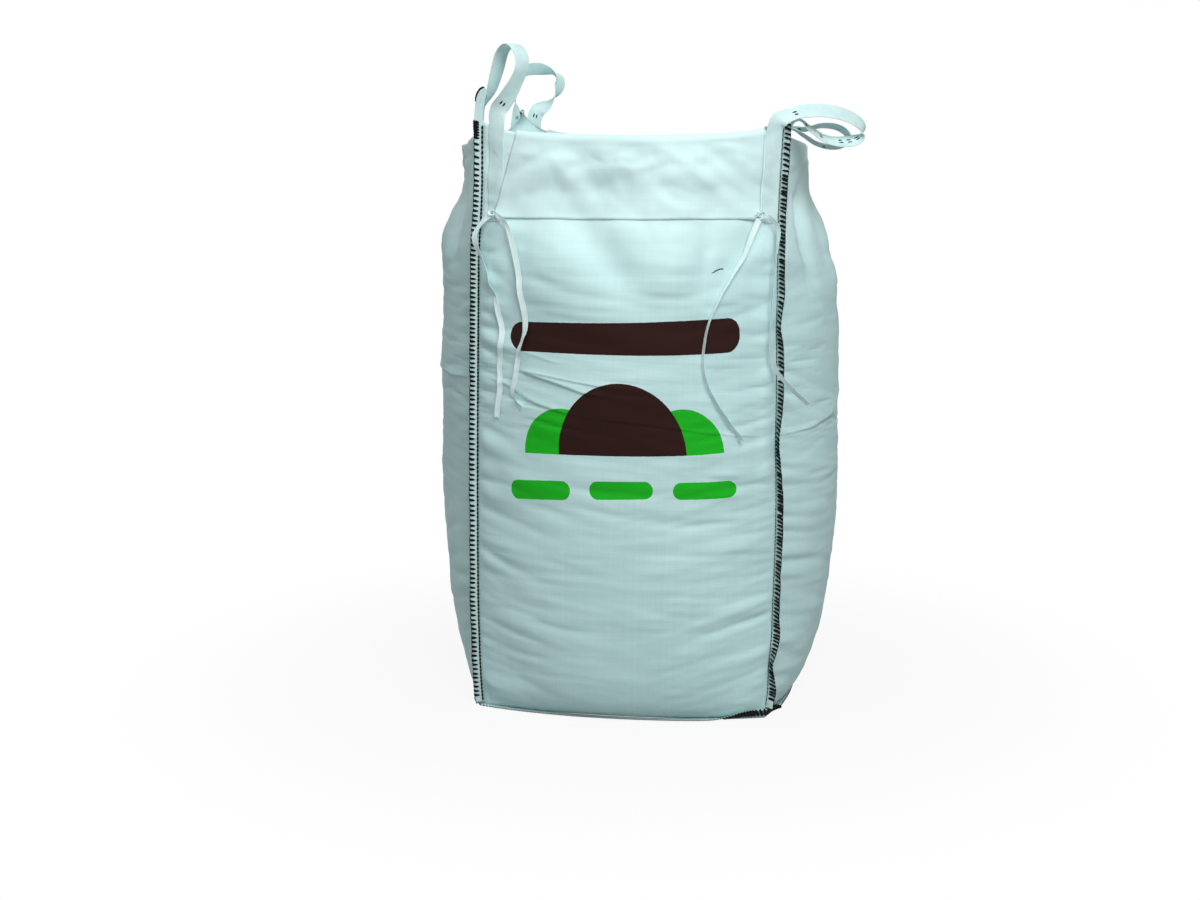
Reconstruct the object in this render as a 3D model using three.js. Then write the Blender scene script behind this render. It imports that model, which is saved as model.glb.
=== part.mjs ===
// A bulk bag of potting soil: a square woven sack that the soil swells nearly round, with a slack
// upper wall, a cover flap tied down over the front, four webbing lift loops, overlocked corner
// seams, a base seam and tie tapes.
// Millimetres, +Z up. The origin is the centre of the footprint, and the front panel faces -Y.
import * as THREE from "three";

// The filled body. A corner is half the distance between two neighbouring corner seams, and a
// side is the distance from the axis to the middle of a panel.
const RIM_HEIGHT = 1580;
const CORNER_FOOT = 386;
const CORNER_BELLY = 405;
const CORNER_RIM = 398;
const SIDE_FOOT = 428;
const SIDE_BELLY = 563;
const SIDE_RIM = 482;
const RIM_PULL = [0, 44, 12, 2]; // how far the rim is drawn in: front, right, back, left
const BELLY_HEIGHT = 640; // the floor to where the soil has swelled the sides fully
const SLACK_LEFT = 340; // the rim down to the soil, which lies higher on the left
const SLACK_RIGHT = 520;
const NECK_DROP = 130; // the rim down to where the slack wall has drawn in
const TWIST_FOOT = -2; // degrees about the axis: the filled bag stands a little wrung
const TWIST_RIM = 2.6;
const PANEL_ROUND = 2.2; // exponent of a panel's swelling across its width

// Folds of the fabric
const FOLD_DEPTH = 20; // upright folds of the slack wall
const FOLD_TURNS = 1.6; // waves across half a panel
const CREASE_HEIGHT = 825; // the old packing crease that runs round the bag
const CREASE_TILT = 45; // its rise from the axis to the left side
const CREASE_DEPTH = 5;
const CREASE_BAND = 22;
const CREASE_REACH = 260; // how far above and below the cloth follows its tilt
const RIM_SAG = [18, 45, 30, 45]; // the rim's droop in mid panel, in the same order
const CORNER_LIFT = [24, 12, -20, 48]; // the corners' peaks: front left and right, back right and left
const CORNER_PEAK = 8; // exponent of a peak's sharpness
const BACK_LEFT_DRAW = 24; // the back left corner of the rim, pulled over to the right
const FRONT_RIGHT_DRAW = 24; // the front right seam, pulled over to the left where it is drawn most
const DRAW_HEIGHT = 1250;
const DRAW_REACH = 560; // how far above and below that the pull is felt
const TOP_DIP = 95; // the closed top's hollow below the rim

// Cover flap
const FLAP_HALF_RIM = 317; // half its width where it bends over the front rim
const FLAP_HALF_HEM = 341;
const FLAP_HALF_BACK = 301; // the same where it is sewn down at the back
const FLAP_SHIFT_RIM = 17; // its middle, to the right of the front panel's middle
const FLAP_SHIFT_HEM = -12;
const FLAP_DROP = 226; // the front rim down to the hem
const FLAP_BACK = 40; // the hem sewn down outside the back rim
const FLAP_THICK = 3;
const FLAP_SEWN_STANDOFF = 3; // the wall to the flap's middle, where it is sewn at the back
const FLAP_STANDOFF = 7.5; // the same at the front rim
const FLAP_HEM_STANDOFF = 11;

// Webbing lift loops
const WEB_WIDTH = 45;
const WEB_THICK = 3;
const WEB_INSET = 28; // the corner seam to the middle of a leg
const WEB_INSET_WIDE = 38; // the same for the left loops' front and back legs, sewn further in
const WEB_LEG = 235; // the sewn length of a leg below the rim
const WEB_STANDOFF = 3.5; // the wall to the middle of a sewn leg
const LOOP_REACH = 200; // the tallest loop's rise above its corner, nearly

// Seams and tie tapes
const SEAM_WIDTH = 24;
const SEAM_THICK = 5;
const SEAM_SEAT = 1.0; // the corner to the fin's inner edge, which stands a little askew
const BASE_SEAM_WIDTH = 20;
const BASE_SEAM_THICK = 3;
const BASE_SEAM_CLEAR = 11.2; // the foot to the strip's inner edge, under the wall that leans out
const TAPE_WIDTH = 15;
const TAPE_THICK = 2;
const TAPE_SEAT = 1; // a knot to the middle of its tape's end, which is a little askew
const KNOT_SIZE = new THREE.Vector3(26, 15, 20);
const CLEARANCE = 0.4; // between a sewn piece and what it is sewn to

// Steps of the faceted skins
const PANEL_STEPS = 18;
const FOOT_ROWS = 6;
const FOOT_ZONE = 200;
const BELLY_ROWS = 5;
const CREASE_ROWS = 8;
const UPPER_ROWS = 11;
const TOP_RINGS = 6;
const FLAP_ACROSS = 16;
const FLAP_ROWS_TOP = 10;
const FLAP_ROWS_FRONT = 7;
const SEAM_ROWS = 44;
const WEB_STEPS = 46;
const TAPE_STEP = 24;

const RIGHT = new THREE.Vector3(1, 0, 0);
const BACK = new THREE.Vector3(0, 1, 0);
const UP = new THREE.Vector3(0, 0, 1);
const CREASE_ZONE = 2.6 * CREASE_BAND;

const smooth = THREE.MathUtils.smoothstep;
const mix = THREE.MathUtils.lerp;

// Evenly spaced values from one up to, but not including, the other.
function spread(from, to, count) {
  return Array.from({ length: count }, (_, i) => mix(from, to, i / count));
}

// One skin over closed rings of equal length. Each ring turns anticlockwise seen from ahead. The
// ends are closed across the ring, each point to its opposite number, or joined when it is a hoop.
function skin(rings, hoop = false) {
  const size = rings[0].length;
  const index = [];
  const at = (ring, i) => (ring % rings.length) * size + (i % size);
  const lengths = hoop ? rings.length : rings.length - 1;
  for (let r = 0; r < lengths; r++) {
    for (let i = 0; i < size; i++) {
      index.push(at(r, i), at(r, i + 1), at(r + 1, i + 1));
      index.push(at(r, i), at(r + 1, i + 1), at(r + 1, i));
    }
  }
  const last = rings.length - 1;
  for (let i = 0; i < size / 2 - 1 && !hoop; i++) {
    const far = size - 1 - i;
    index.push(at(0, i), at(0, far - 1), at(0, i + 1));
    index.push(at(0, i), at(0, far), at(0, far - 1));
    index.push(at(last, i), at(last, i + 1), at(last, far - 1));
    index.push(at(last, i), at(last, far - 1), at(last, far));
  }
  const geometry = new THREE.BufferGeometry().setFromPoints(rings.flat());
  geometry.setIndex(index.filter((_, k) => isFace(index, k - (k % 3))));
  geometry.computeVertexNormals();
  return geometry;
}

// A triangle of three different points, unlike the one where two sides of a ring's end meet.
function isFace(index, k) {
  return index[k] !== index[k + 1] && index[k + 1] !== index[k + 2] && index[k] !== index[k + 2];
}

// A flat section, as a ring, about a point on a band that runs along one direction.
function bandSection(point, along, across, width, thick) {
  const normal = new THREE.Vector3().crossVectors(along, across).normalize();
  const side = new THREE.Vector3().crossVectors(normal, along).setLength(width / 2);
  normal.multiplyScalar(thick / 2);
  return [
    point.clone().add(side).add(normal),
    point.clone().sub(side).add(normal),
    point.clone().sub(side).sub(normal),
    point.clone().add(side).sub(normal),
  ];
}

// A band of flat sections along a smooth path. Each path point has its own direction across.
function band(path, width, thick, steps) {
  const line = new THREE.CatmullRomCurve3(path.map((p) => p.point));
  const turn = new THREE.CatmullRomCurve3(path.map((p) => p.across));
  const sections = [];
  for (let i = 0; i <= steps; i++) {
    const t = i / steps;
    const u = line.getUtoTmapping(t);
    sections.push(bandSection(line.getPoint(u), line.getTangent(u), turn.getPoint(u), width, thick));
  }
  return skin(sections);
}

// The four panels in turn from the front, anticlockwise seen from above.
function panelAxes(side) {
  const turn = (side * Math.PI) / 2;
  return {
    out: new THREE.Vector2(Math.sin(turn), -Math.cos(turn)),
    along: new THREE.Vector2(Math.cos(turn), Math.sin(turn)),
  };
}

// A point of the wall. The panel number's fraction runs across a panel, from seam to seam, and the
// height is measured along the cloth, so the crease and the rim keep to one height each.
function wallPoint(panel, height) {
  const side = Math.floor(panel) % 4;
  const across = 2 * (panel - Math.floor(panel)) - 1;
  const { out, along } = panelAxes(side);
  const east = (out.x + along.x * across) / Math.hypot(1, across);

  const grown = Math.min(height / BELLY_HEIGHT, 1);
  const swell = Math.sqrt(1 - (1 - grown) ** 2);
  const soil = RIM_HEIGHT - mix(SLACK_LEFT, SLACK_RIGHT, (1 + east) / 2);
  const slack = smooth(height, soil, RIM_HEIGHT - NECK_DROP);
  const corner = mix(mix(CORNER_FOOT, CORNER_BELLY, swell), CORNER_RIM, slack);
  const middle = mix(mix(SIDE_FOOT, SIDE_BELLY, swell), SIDE_RIM - RIM_PULL[side], slack);
  const bow = 1 - Math.abs(across) ** PANEL_ROUND;

  const fold = FOLD_DEPTH * slack * (1 - across ** 2) ** 2;
  const wave = Math.sin(Math.PI * FOLD_TURNS * across + 1.9 * side + height / RIM_HEIGHT);
  const offset = (height - CREASE_HEIGHT) / CREASE_BAND;
  const depth = CREASE_DEPTH * bow ** 0.5 * (0.65 + 0.35 * Math.sin(2.6 * across + 2 * side));
  const crease = depth * offset * Math.exp((1 - offset ** 2) / 2);

  const distance = corner + (middle - corner) * bow + fold * wave + crease;
  const tilt = CREASE_TILT * Math.exp(-(((height - CREASE_HEIGHT) / CREASE_REACH) ** 2));
  const neck = smooth(height, RIM_HEIGHT - NECK_DROP, RIM_HEIGHT);
  const sag = RIM_SAG[side] * (1 - across ** 2) * neck;
  const seam = across < 0 ? side : (side + 1) % 4;
  const lift = CORNER_LIFT[seam] * Math.abs(across) ** CORNER_PEAK * neck;
  const pull = FRONT_RIGHT_DRAW * Math.exp(-(((height - DRAW_HEIGHT) / DRAW_REACH) ** 2));
  const draw = [0, -pull, 0, BACK_LEFT_DRAW * slack][seam];
  const drawn = draw * across ** 4;
  const twist = THREE.MathUtils.degToRad(mix(TWIST_FOOT, TWIST_RIM, height / RIM_HEIGHT));
  const flat = out.clone().multiplyScalar(distance).addScaledVector(along, corner * across);
  flat.rotateAround(new THREE.Vector2(), twist);
  return new THREE.Vector3(flat.x + drawn, flat.y, height - tilt * east - sag + lift);
}

// The height of the closed top, a shallow bowl of cloth inside the rim, at a place across it.
function topHeight(x, y) {
  const start = wallPoint(0, RIM_HEIGHT);
  const turnTo = (toX, toY) =>
    THREE.MathUtils.euclideanModulo(Math.atan2(toY, toX) - Math.atan2(start.y, start.x), 2 * Math.PI);
  const wanted = turnTo(x, y);
  let low = 0;
  let high = 3.9999;
  for (let i = 0; i < 40; i++) {
    const middle = (low + high) / 2;
    const rim = wallPoint(middle, RIM_HEIGHT);
    if (turnTo(rim.x, rim.y) < wanted) {
      low = middle;
    } else {
      high = middle;
    }
  }
  const rim = wallPoint(low, RIM_HEIGHT);
  return bowlHeight(rim, Math.hypot(x, y) / Math.hypot(rim.x, rim.y));
}

// The bowl's height at a share of the way from the axis to a point of the rim. The rim's own droops
// and peaks fade out soon inside it.
function bowlHeight(rim, share) {
  const edge = mix(RIM_HEIGHT, rim.z, share ** 4);
  return mix(RIM_HEIGHT - TOP_DIP, edge, share ** 2);
}

// The outward direction of the wall, from its slopes across and up a panel.
function wallNormal(panel, height) {
  const inside = Math.floor(panel) + THREE.MathUtils.clamp(panel - Math.floor(panel), 0.01, 0.99);
  const across = wallPoint(inside + 0.005, height).sub(wallPoint(inside - 0.005, height));
  const up = wallPoint(inside, height + 2).sub(wallPoint(inside, height - 2));
  return across.cross(up).normalize();
}

// A point off the wall by a distance along its normal.
function offWall(panel, height, distance) {
  return wallPoint(panel, height).addScaledVector(wallNormal(panel, height), distance);
}

// The panel number at a distance along a panel from its middle, at one height.
function panelAt(side, distance, height) {
  const half = wallPoint(side, height).setZ(0).distanceTo(wallPoint(side + 1, height).setZ(0)) / 2;
  return side + THREE.MathUtils.clamp((1 + distance / half) / 2, 0.0001, 0.9999);
}

// A material of the bag: woven and webbing plastics are matt, so only the colour differs much.
function cloth(colour, roughness) {
  return new THREE.MeshStandardMaterial({ color: colour, roughness, metalness: 0 });
}

const WOVEN = cloth(0xc4dedd, 0.55);
const FLAP_CLOTH = cloth(0xdaf2f2, 0.5);
const WEBBING = cloth(0xcfe4e4, 0.6);
const THREAD = cloth(0x0f1213, 0.8);
const TAPE = cloth(0xe2f3f3, 0.55);

const bag = new THREE.Group();

function addPiece(name, geometry, material) {
  const mesh = new THREE.Mesh(geometry, material);
  mesh.name = name;
  bag.add(mesh);
}

// The filled sack, closed over the top by its own cloth, which dips inside the rim.
function makeBody() {
  const start = CREASE_HEIGHT - CREASE_ZONE;
  const end = CREASE_HEIGHT + CREASE_ZONE;
  const heights = [
    ...spread(0, 1, FOOT_ROWS).map((s) => FOOT_ZONE * s ** 2),
    ...spread(FOOT_ZONE, start, BELLY_ROWS),
    ...spread(start, end, CREASE_ROWS),
    ...spread(end, RIM_HEIGHT, UPPER_ROWS),
    RIM_HEIGHT,
  ];
  const panels = spread(0, 4, 4 * PANEL_STEPS);
  const rings = heights.map((height) => panels.map((panel) => wallPoint(panel, height)));
  const rim = rings.at(-1);
  for (const reach of spread(1, 0, TOP_RINGS).slice(1)) {
    const ring = rim.map((p) => new THREE.Vector3(p.x * reach, p.y * reach, bowlHeight(p, reach)));
    rings.push(ring);
  }
  addPiece("bag_body", skin(rings), WOVEN);
}

// The front wall to the flap's middle, at a drop below the rim.
function flapStandoff(drop) {
  return mix(FLAP_STANDOFF, FLAP_HEM_STANDOFF, drop / FLAP_DROP);
}

// The cover flap: sewn down outside the back rim, lying over the top and hanging down the front.
function makeFlap() {
  const shares = spread(0, 1, FLAP_ACROSS).concat(1);
  const backRow = (share, height, standoff) => {
    const distance = mix(FLAP_HALF_BACK, -FLAP_HALF_BACK, share);
    return offWall(panelAt(2, distance, height), height, standoff);
  };
  const frontRow = (share, drop, standoff) => {
    const half = mix(FLAP_HALF_RIM, FLAP_HALF_HEM, drop / FLAP_DROP);
    const shift = mix(FLAP_SHIFT_RIM, FLAP_SHIFT_HEM, drop / FLAP_DROP);
    const height = RIM_HEIGHT - drop;
    return offWall(panelAt(0, shift + half * (2 * share - 1), height), height, standoff);
  };
  const topRow = (share, s) => {
    const point = backRow(share, RIM_HEIGHT, 0).lerp(frontRow(share, 0, 0), s);
    return point.setZ(topHeight(point.x, point.y) + FLAP_STANDOFF);
  };
  const rows = [];
  for (const drop of [FLAP_BACK, FLAP_BACK / 2, FLAP_STANDOFF]) {
    rows.push(shares.map((share) => backRow(share, RIM_HEIGHT - drop, FLAP_SEWN_STANDOFF)));
  }
  for (const s of spread(0, 1, FLAP_ROWS_TOP).concat(1)) {
    rows.push(shares.map((share) => topRow(share, s)));
  }
  for (const s of spread(0, 1, FLAP_ROWS_FRONT).concat(1)) {
    const drop = mix(FLAP_STANDOFF, FLAP_DROP, s);
    rows.push(shares.map((share) => frontRow(share, drop, flapStandoff(drop))));
  }
  addPiece("cover_flap", skin(rows.map((row, i) => flapSection(rows, row, i))), FLAP_CLOTH);
}

// The ring round one row of the flap: its upper face from right to left, then its lower face.
function flapSection(rows, row, i) {
  const ahead = rows[Math.min(i + 1, rows.length - 1)];
  const behind = rows[Math.max(i - 1, 0)];
  const offset = row.map((_, k) => {
    const along = ahead[k].clone().sub(behind[k]);
    const across = row[Math.min(k + 1, row.length - 1)].clone().sub(row[Math.max(k - 1, 0)]);
    return across.cross(along).negate().setLength(FLAP_THICK / 2);
  });
  const upper = row.map((point, k) => point.clone().add(offset[k]));
  const lower = row.map((point, k) => point.clone().sub(offset[k]));
  return upper.reverse().concat(lower);
}

// Each corner: its seam's panel number, the way its overlocked fin points, how far the fin stands
// above the rim, as a share of its width, and its loop's two legs: the panel that each is sewn to,
// the sign of the way along it from the seam, and its distance from the seam.
const CORNERS = {
  front_left: {
    seam: 0,
    fin: [-0.9, -0.44],
    tab: 3.5,
    legs: [[0, 1, WEB_INSET_WIDE], [3, -1, WEB_INSET]],
  },
  front_right: {
    seam: 1,
    fin: [0.77, -0.64],
    tab: 0.2,
    legs: [[0, -1, WEB_INSET], [1, 1, WEB_INSET]],
  },
  back_right: {
    seam: 2,
    fin: [0.7, 0.7],
    tab: 0.2,
    legs: [[2, 1, WEB_INSET], [1, -1, WEB_INSET]],
  },
  back_left: {
    seam: 3,
    fin: [-0.6, 0.8],
    tab: 0.4,
    legs: [[2, -1, WEB_INSET_WIDE], [3, 1, WEB_INSET]],
  },
};

// A corner seam: the panels' edges turned out together and overlocked, from foot to rim.
function makeSeam(name, { seam, fin, tab }) {
  const across = new THREE.Vector3(fin[0], fin[1], 0).normalize();
  const reach = SEAM_SEAT + SEAM_WIDTH / 2;
  const foot = BASE_SEAM_THICK + SEAM_THICK + CLEARANCE;
  const sections = spread(0, 1, SEAM_ROWS).map((s) => {
    const height = mix(foot, RIM_HEIGHT, s ** 1.25);
    const point = wallPoint(seam, height).addScaledVector(across, reach);
    const along = wallPoint(seam, height + 2).sub(wallPoint(seam, height - 2));
    return bandSection(point, along.normalize(), across, SEAM_WIDTH, SEAM_THICK);
  });
  const top = wallPoint(seam, RIM_HEIGHT).addScaledVector(across, reach).addScaledVector(UP, tab * SEAM_WIDTH);
  sections.push(bandSection(top, UP, across, SEAM_WIDTH, SEAM_THICK));
  addPiece(`corner_seam_${name}`, skin(sections), THREAD);
}

// The free part of each loop, from the leg on the front or back panel to the leg on the side
// panel. A point is measured along the first leg's panel, along the second leg's panel and up,
// from the corner's rim, in shares of the loops' reach. The other three numbers are the direction
// across the webbing there.
const LOOP_ROUTES = {
  front_left: [
    [0.215, -0.01, 0.13, 1, 0.25, 0],
    [0.33, -0.01, 0.26, 0.9, 0.5, 0],
    [0.49, -0.005, 0.49, 0.75, 0.7, 0],
    [0.585, 0, 0.68, 0.7, 0.73, 0],
    [0.58, 0.04, 0.86, 0.7, 0.73, 0],
    [0.46, 0.11, 0.985, 0.7, 0.73, 0],
    [0.35, 0.18, 0.89, 0.7, 0.73, 0],
    [0.29, 0.215, 0.695, 0.7, 0.73, 0],
    [0.18, 0.21, 0.38, 0.6, 0.8, 0],
    [0.06, 0.22, 0.16, 0.3, 0.95, 0],
  ],
  front_right: [
    [0.05, -0.07, 0.07, 1, 0.3, 0.3],
    [-0.13, -0.05, 0.145, 0.4, 0.8, 0.5],
    [-0.32, -0.015, 0.185, 0, 0.8, 0.6],
    [-0.53, 0.02, 0.195, 0, 0.8, 0.6],
    [-0.75, 0.05, 0.17, 0, 0.8, 0.6],
    [-0.96, 0.09, 0.11, 0, 0.8, 0.6],
    [-1.12, 0.13, 0.01, 0, 0.8, 0.6],
    [-1.155, 0.165, -0.085, 0, 0.8, 0.6],
    [-1.04, 0.195, -0.17, 0, 0.8, 0.6],
    [-0.81, 0.21, -0.205, 0, 0.9, 0.5],
    [-0.57, 0.215, -0.17, 0, 1, 0.3],
    [-0.35, 0.2, -0.045, 0, 1, 0.1],
    [-0.17, 0.155, 0.07, 0, 1, 0],
  ],
  back_right: [
    [0.13, -0.045, 0.08, 1, 0.3, 0],
    [0.01, -0.04, 0.13, 0.6, 0.9, 0.1],
    [-0.17, -0.015, 0.135, 0.2, 1, 0.2],
    [-0.41, 0.02, 0.12, 0, 1, 0.3],
    [-0.67, 0.055, 0.17, 0, 1, 0.3],
    [-0.89, 0.085, 0.15, 0, 1, 0.3],
    [-1.04, 0.115, 0.06, 0, 1, 0.3],
    [-1.08, 0.145, -0.05, 0, 1, 0.3],
    [-0.98, 0.17, -0.13, 0, 1, 0.3],
    [-0.78, 0.19, -0.15, 0, 1, 0.3],
    [-0.55, 0.205, -0.1, 0, 1, 0.2],
    [-0.33, 0.195, 0.03, 0, 1, 0.1],
    [-0.15, 0.155, 0.11, 0, 1, 0],
  ],
  back_left: [
    [0.2, -0.02, 0.05, 1, 0.3, 0],
    [0.31, -0.01, 0.11, 0.9, 0.5, 0],
    [0.47, 0.01, 0.23, 0.6, 0.8, 0],
    [0.585, 0.03, 0.385, 0.1, 0.85, 0.3],
    [0.6, 0.05, 0.52, -0.3, 0.8, 0.45],
    [0.45, 0.075, 0.63, -0.3, 0.8, 0.55],
    [0.25, 0.1, 0.675, 0, 0.8, 0.5],
    [0.06, 0.125, 0.62, 0.3, 0.8, 0.3],
    [-0.02, 0.145, 0.45, 0.6, 0.75, 0],
    [-0.04, 0.155, 0.22, 0.6, 0.8, 0],
    [-0.02, 0.155, 0.07, 0.3, 0.95, 0],
  ],
};

// One lift loop: a leg sewn flat on each of the two panels that meet at the corner.
function makeLoop(name, { seam, legs }) {
  const rim = wallPoint(seam, RIM_HEIGHT);
  const [first, second] = legs.map(([side, sign, inset]) => {
    const half = wallPoint(side, RIM_HEIGHT).distanceTo(wallPoint(side + 1, RIM_HEIGHT)) / 2;
    const points = [WEB_LEG, 0.6 * WEB_LEG, 0.25 * WEB_LEG, 0].map((drop) => {
      const height = RIM_HEIGHT - drop;
      const panel = panelAt(side, sign * (inset - half), height);
      const way = wallPoint(panel + 0.02, height).sub(wallPoint(panel - 0.02, height));
      return {
        point: offWall(panel, height, WEB_STANDOFF),
        across: way.setZ(0).setLength(sign),
      };
    });
    return { across: points.at(-1).across, points };
  });
  const place = (a, b, up) =>
    new THREE.Vector3()
      .addScaledVector(first.across, a)
      .addScaledVector(second.across, b)
      .addScaledVector(UP, up);
  const free = LOOP_ROUTES[name].map(([a, b, up, acrossA, acrossB, acrossUp]) => ({
    point: rim.clone().add(place(a, b, up).multiplyScalar(LOOP_REACH)),
    across: place(acrossA, acrossB, acrossUp).normalize(),
  }));
  const path = [...first.points, ...free, ...second.points.reverse()];
  addPiece(`lift_loop_${name}`, band(path, WEB_WIDTH, WEB_THICK, WEB_STEPS), WEBBING);
}

// The base seam: the edges of the base and the panels overlocked, lying on the floor round the foot.
function makeBaseSeam() {
  const lift = BASE_SEAM_THICK / 2 + CLEARANCE;
  const clear = BASE_SEAM_CLEAR + BASE_SEAM_WIDTH / 2;
  const panels = spread(0, 4, 4 * PANEL_STEPS);
  const sections = panels.map((panel, i) => {
    const before = wallPoint(panels.at(i - 1), 0);
    const after = wallPoint(panels[(i + 1) % panels.length], 0);
    const along = after.sub(before).normalize();
    const across = new THREE.Vector3().crossVectors(along, UP);
    const point = wallPoint(panel, 0).addScaledVector(across, clear).setZ(lift);
    return bandSection(point, along, across, BASE_SEAM_WIDTH, BASE_SEAM_THICK);
  });
  addPiece("base_seam", skin(sections, true), THREAD);
}

// The point in front of the front panel at a place across and up the bag, and a distance off it.
function beforeFront(x, z, distance) {
  let low = 0;
  let high = 0.9999;
  let height = z;
  for (let i = 0; i < 40; i++) {
    const panel = (low + high) / 2;
    const point = wallPoint(panel, height);
    height += z - point.z;
    if (point.x < x) {
      low = panel;
    } else {
      high = panel;
    }
  }
  return new THREE.Vector3(x, wallPoint(low, height).y - distance, z);
}

// A tie knot: its place on a front corner of the flap, and the way the wall faces there.
function knotPlace(sign) {
  const drop = FLAP_DROP - KNOT_SIZE.z / 2;
  const height = RIM_HEIGHT - drop;
  const panel = panelAt(0, FLAP_SHIFT_HEM + sign * (FLAP_HALF_HEM - KNOT_SIZE.x / 4), height);
  const standoff = flapStandoff(drop) + FLAP_THICK / 2 + KNOT_SIZE.y / 2 + CLEARANCE;
  return { point: offWall(panel, height, standoff), normal: wallNormal(panel, height) };
}

function makeKnot(name, sign) {
  const { point, normal } = knotPlace(sign);
  const geometry = new THREE.SphereGeometry(0.5, 12, 8);
  geometry.rotateX(Math.PI / 2).scale(KNOT_SIZE.x, KNOT_SIZE.y, KNOT_SIZE.z);
  geometry.rotateZ(Math.atan2(normal.x, -normal.y));
  geometry.translate(point.x, point.y, point.z);
  addPiece(`tie_knot_${name}`, geometry, TAPE);
}

// Tie tapes. Each leaves its knot, on the left or right, at an angle in degrees: 0 is to the
// right and -90 down. Its points by hand are across the bag, up, off the front panel, and how far
// the tape's flat is turned from facing the front, in degrees.
const TAPE_ROUTES = {
  left_inner: {
    knot: -1,
    leaves: -20,
    points: [
      [-316, 1347, 25, 40],
      [-302, 1318, 22, 20],
      [-288, 1270, 16, 10],
      [-276, 1214, 10, 5],
      [-266, 1152, 7, 0],
      [-258, 1086, 6, 10],
      [-266, 1040, 7, 60],
      [-279, 1000, 7, 30],
      [-286, 950, 7, 10],
      [-297, 905, 10, 40],
      [-288, 882, 12, 60],
      [-270, 862, 10, 30],
    ],
  },
  left_outer: {
    knot: -1,
    leaves: 207,
    points: [
      [-387, 1336, 30, 40],
      [-402, 1302, 30, 20],
      [-392, 1270, 27, 40],
      [-376, 1238, 18, 75],
      [-358, 1190, 10, 80],
      [-344, 1146, 7, 40],
      [-332, 1096, 7, 5],
      [-323, 1040, 7, 0],
      [-334, 980, 7, 25],
      [-332, 920, 9, 10],
      [-340, 868, 12, 15],
      [-343, 830, 8, 10],
    ],
  },
  right_inner: {
    knot: 1,
    leaves: -105,
    points: [
      [325, 1316, 23, -10],
      [303, 1258, 17, 0],
      [270, 1204, 12, 10],
      [240, 1150, 11, 10],
      [218, 1090, 11, -10],
      [206, 1030, 11, -25],
      [204, 980, 11, -30],
      [222, 920, 11, -20],
      [262, 850, 13, -20],
      [304, 786, 12, -30],
    ],
  },
  right_outer: {
    knot: 1,
    leaves: -5,
    points: [
      [380, 1350, 27, 20],
      [392, 1326, 30, 40],
      [389, 1280, 36, 70],
      [385, 1220, 36, 80],
      [380, 1150, 36, 80],
      [377, 1080, 36, 70],
      [378, 1020, 38, 50],
      [390, 968, 44, 30],
      [428, 920, 30, 20],
      [478, 868, -6, 10],
    ],
  },
};

function makeTape(name, { knot, leaves, points }) {
  const { point, normal } = knotPlace(knot);
  const turn = THREE.MathUtils.degToRad(leaves);
  const sideways = new THREE.Vector3().crossVectors(UP, normal).normalize();
  const start = point
    .addScaledVector(sideways, Math.cos(turn) * (KNOT_SIZE.x / 2 + TAPE_SEAT))
    .addScaledVector(UP, Math.sin(turn) * (KNOT_SIZE.z / 2 + TAPE_SEAT));
  const first = sideways.clone().multiplyScalar(-Math.sin(turn)).addScaledVector(UP, Math.cos(turn));
  const path = [{ point: start, across: first }];
  for (const [x, z, distance, turned] of points) {
    const angle = THREE.MathUtils.degToRad(turned);
    const across = RIGHT.clone().multiplyScalar(Math.cos(angle));
    path.push({ point: beforeFront(x, z, distance), across: across.addScaledVector(BACK, -Math.sin(angle)) });
  }
  const length = new THREE.CatmullRomCurve3(path.map((p) => p.point)).getLength();
  addPiece(`tie_tape_${name}`, band(path, TAPE_WIDTH, TAPE_THICK, Math.ceil(length / TAPE_STEP)), TAPE);
}

makeBody();
makeFlap();
makeBaseSeam();
for (const [name, corner] of Object.entries(CORNERS)) {
  makeSeam(name, corner);
  makeLoop(name, corner);
}
for (const [name, route] of Object.entries(TAPE_ROUTES)) {
  makeTape(name, route);
}
makeKnot("left", -1);
makeKnot("right", 1);

export default bag;
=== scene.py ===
import bisect
import math

import bmesh
import bpy
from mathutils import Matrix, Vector, noise
from mathutils.bvhtree import BVHTree


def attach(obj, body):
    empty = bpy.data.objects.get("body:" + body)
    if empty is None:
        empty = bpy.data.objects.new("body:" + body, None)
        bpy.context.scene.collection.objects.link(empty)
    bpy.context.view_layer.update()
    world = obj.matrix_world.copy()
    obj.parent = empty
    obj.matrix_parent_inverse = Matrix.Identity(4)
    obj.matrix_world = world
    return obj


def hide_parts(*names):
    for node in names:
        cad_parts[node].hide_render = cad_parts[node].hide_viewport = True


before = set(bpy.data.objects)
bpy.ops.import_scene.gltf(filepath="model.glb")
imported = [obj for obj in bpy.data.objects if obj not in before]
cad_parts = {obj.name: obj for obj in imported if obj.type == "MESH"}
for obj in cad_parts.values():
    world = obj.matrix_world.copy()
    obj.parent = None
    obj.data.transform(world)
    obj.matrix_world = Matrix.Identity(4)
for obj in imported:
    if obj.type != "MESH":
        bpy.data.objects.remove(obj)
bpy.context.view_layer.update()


# The sack. Four panels of white woven polypropylene cloth are sewn to one another and to a base, and
# the soil swells them nearly round. Above the soil the wall is slack and draws in to the rim, and
# the cloth closes the top as a shallow bowl.
RIM_HEIGHT = 1.580
CORNER_FOOT = 0.386
CORNER_BELLY = 0.405
CORNER_RIM = 0.398
SIDE_FOOT = 0.428
SIDE_BELLY = 0.563
SIDE_RIM = 0.482
RIM_PULL = (0.000, 0.044, 0.012, 0.002)
BELLY_HEIGHT = 0.640
SLACK_LEFT = 0.340
SLACK_RIGHT = 0.520
NECK_DROP = 0.130
TWIST_FOOT = math.radians(-2.0)
TWIST_RIM = math.radians(2.6)
PANEL_ROUND = 2.2
FOLD_DEPTH = 0.020
FOLD_TURNS = 1.6
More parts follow.
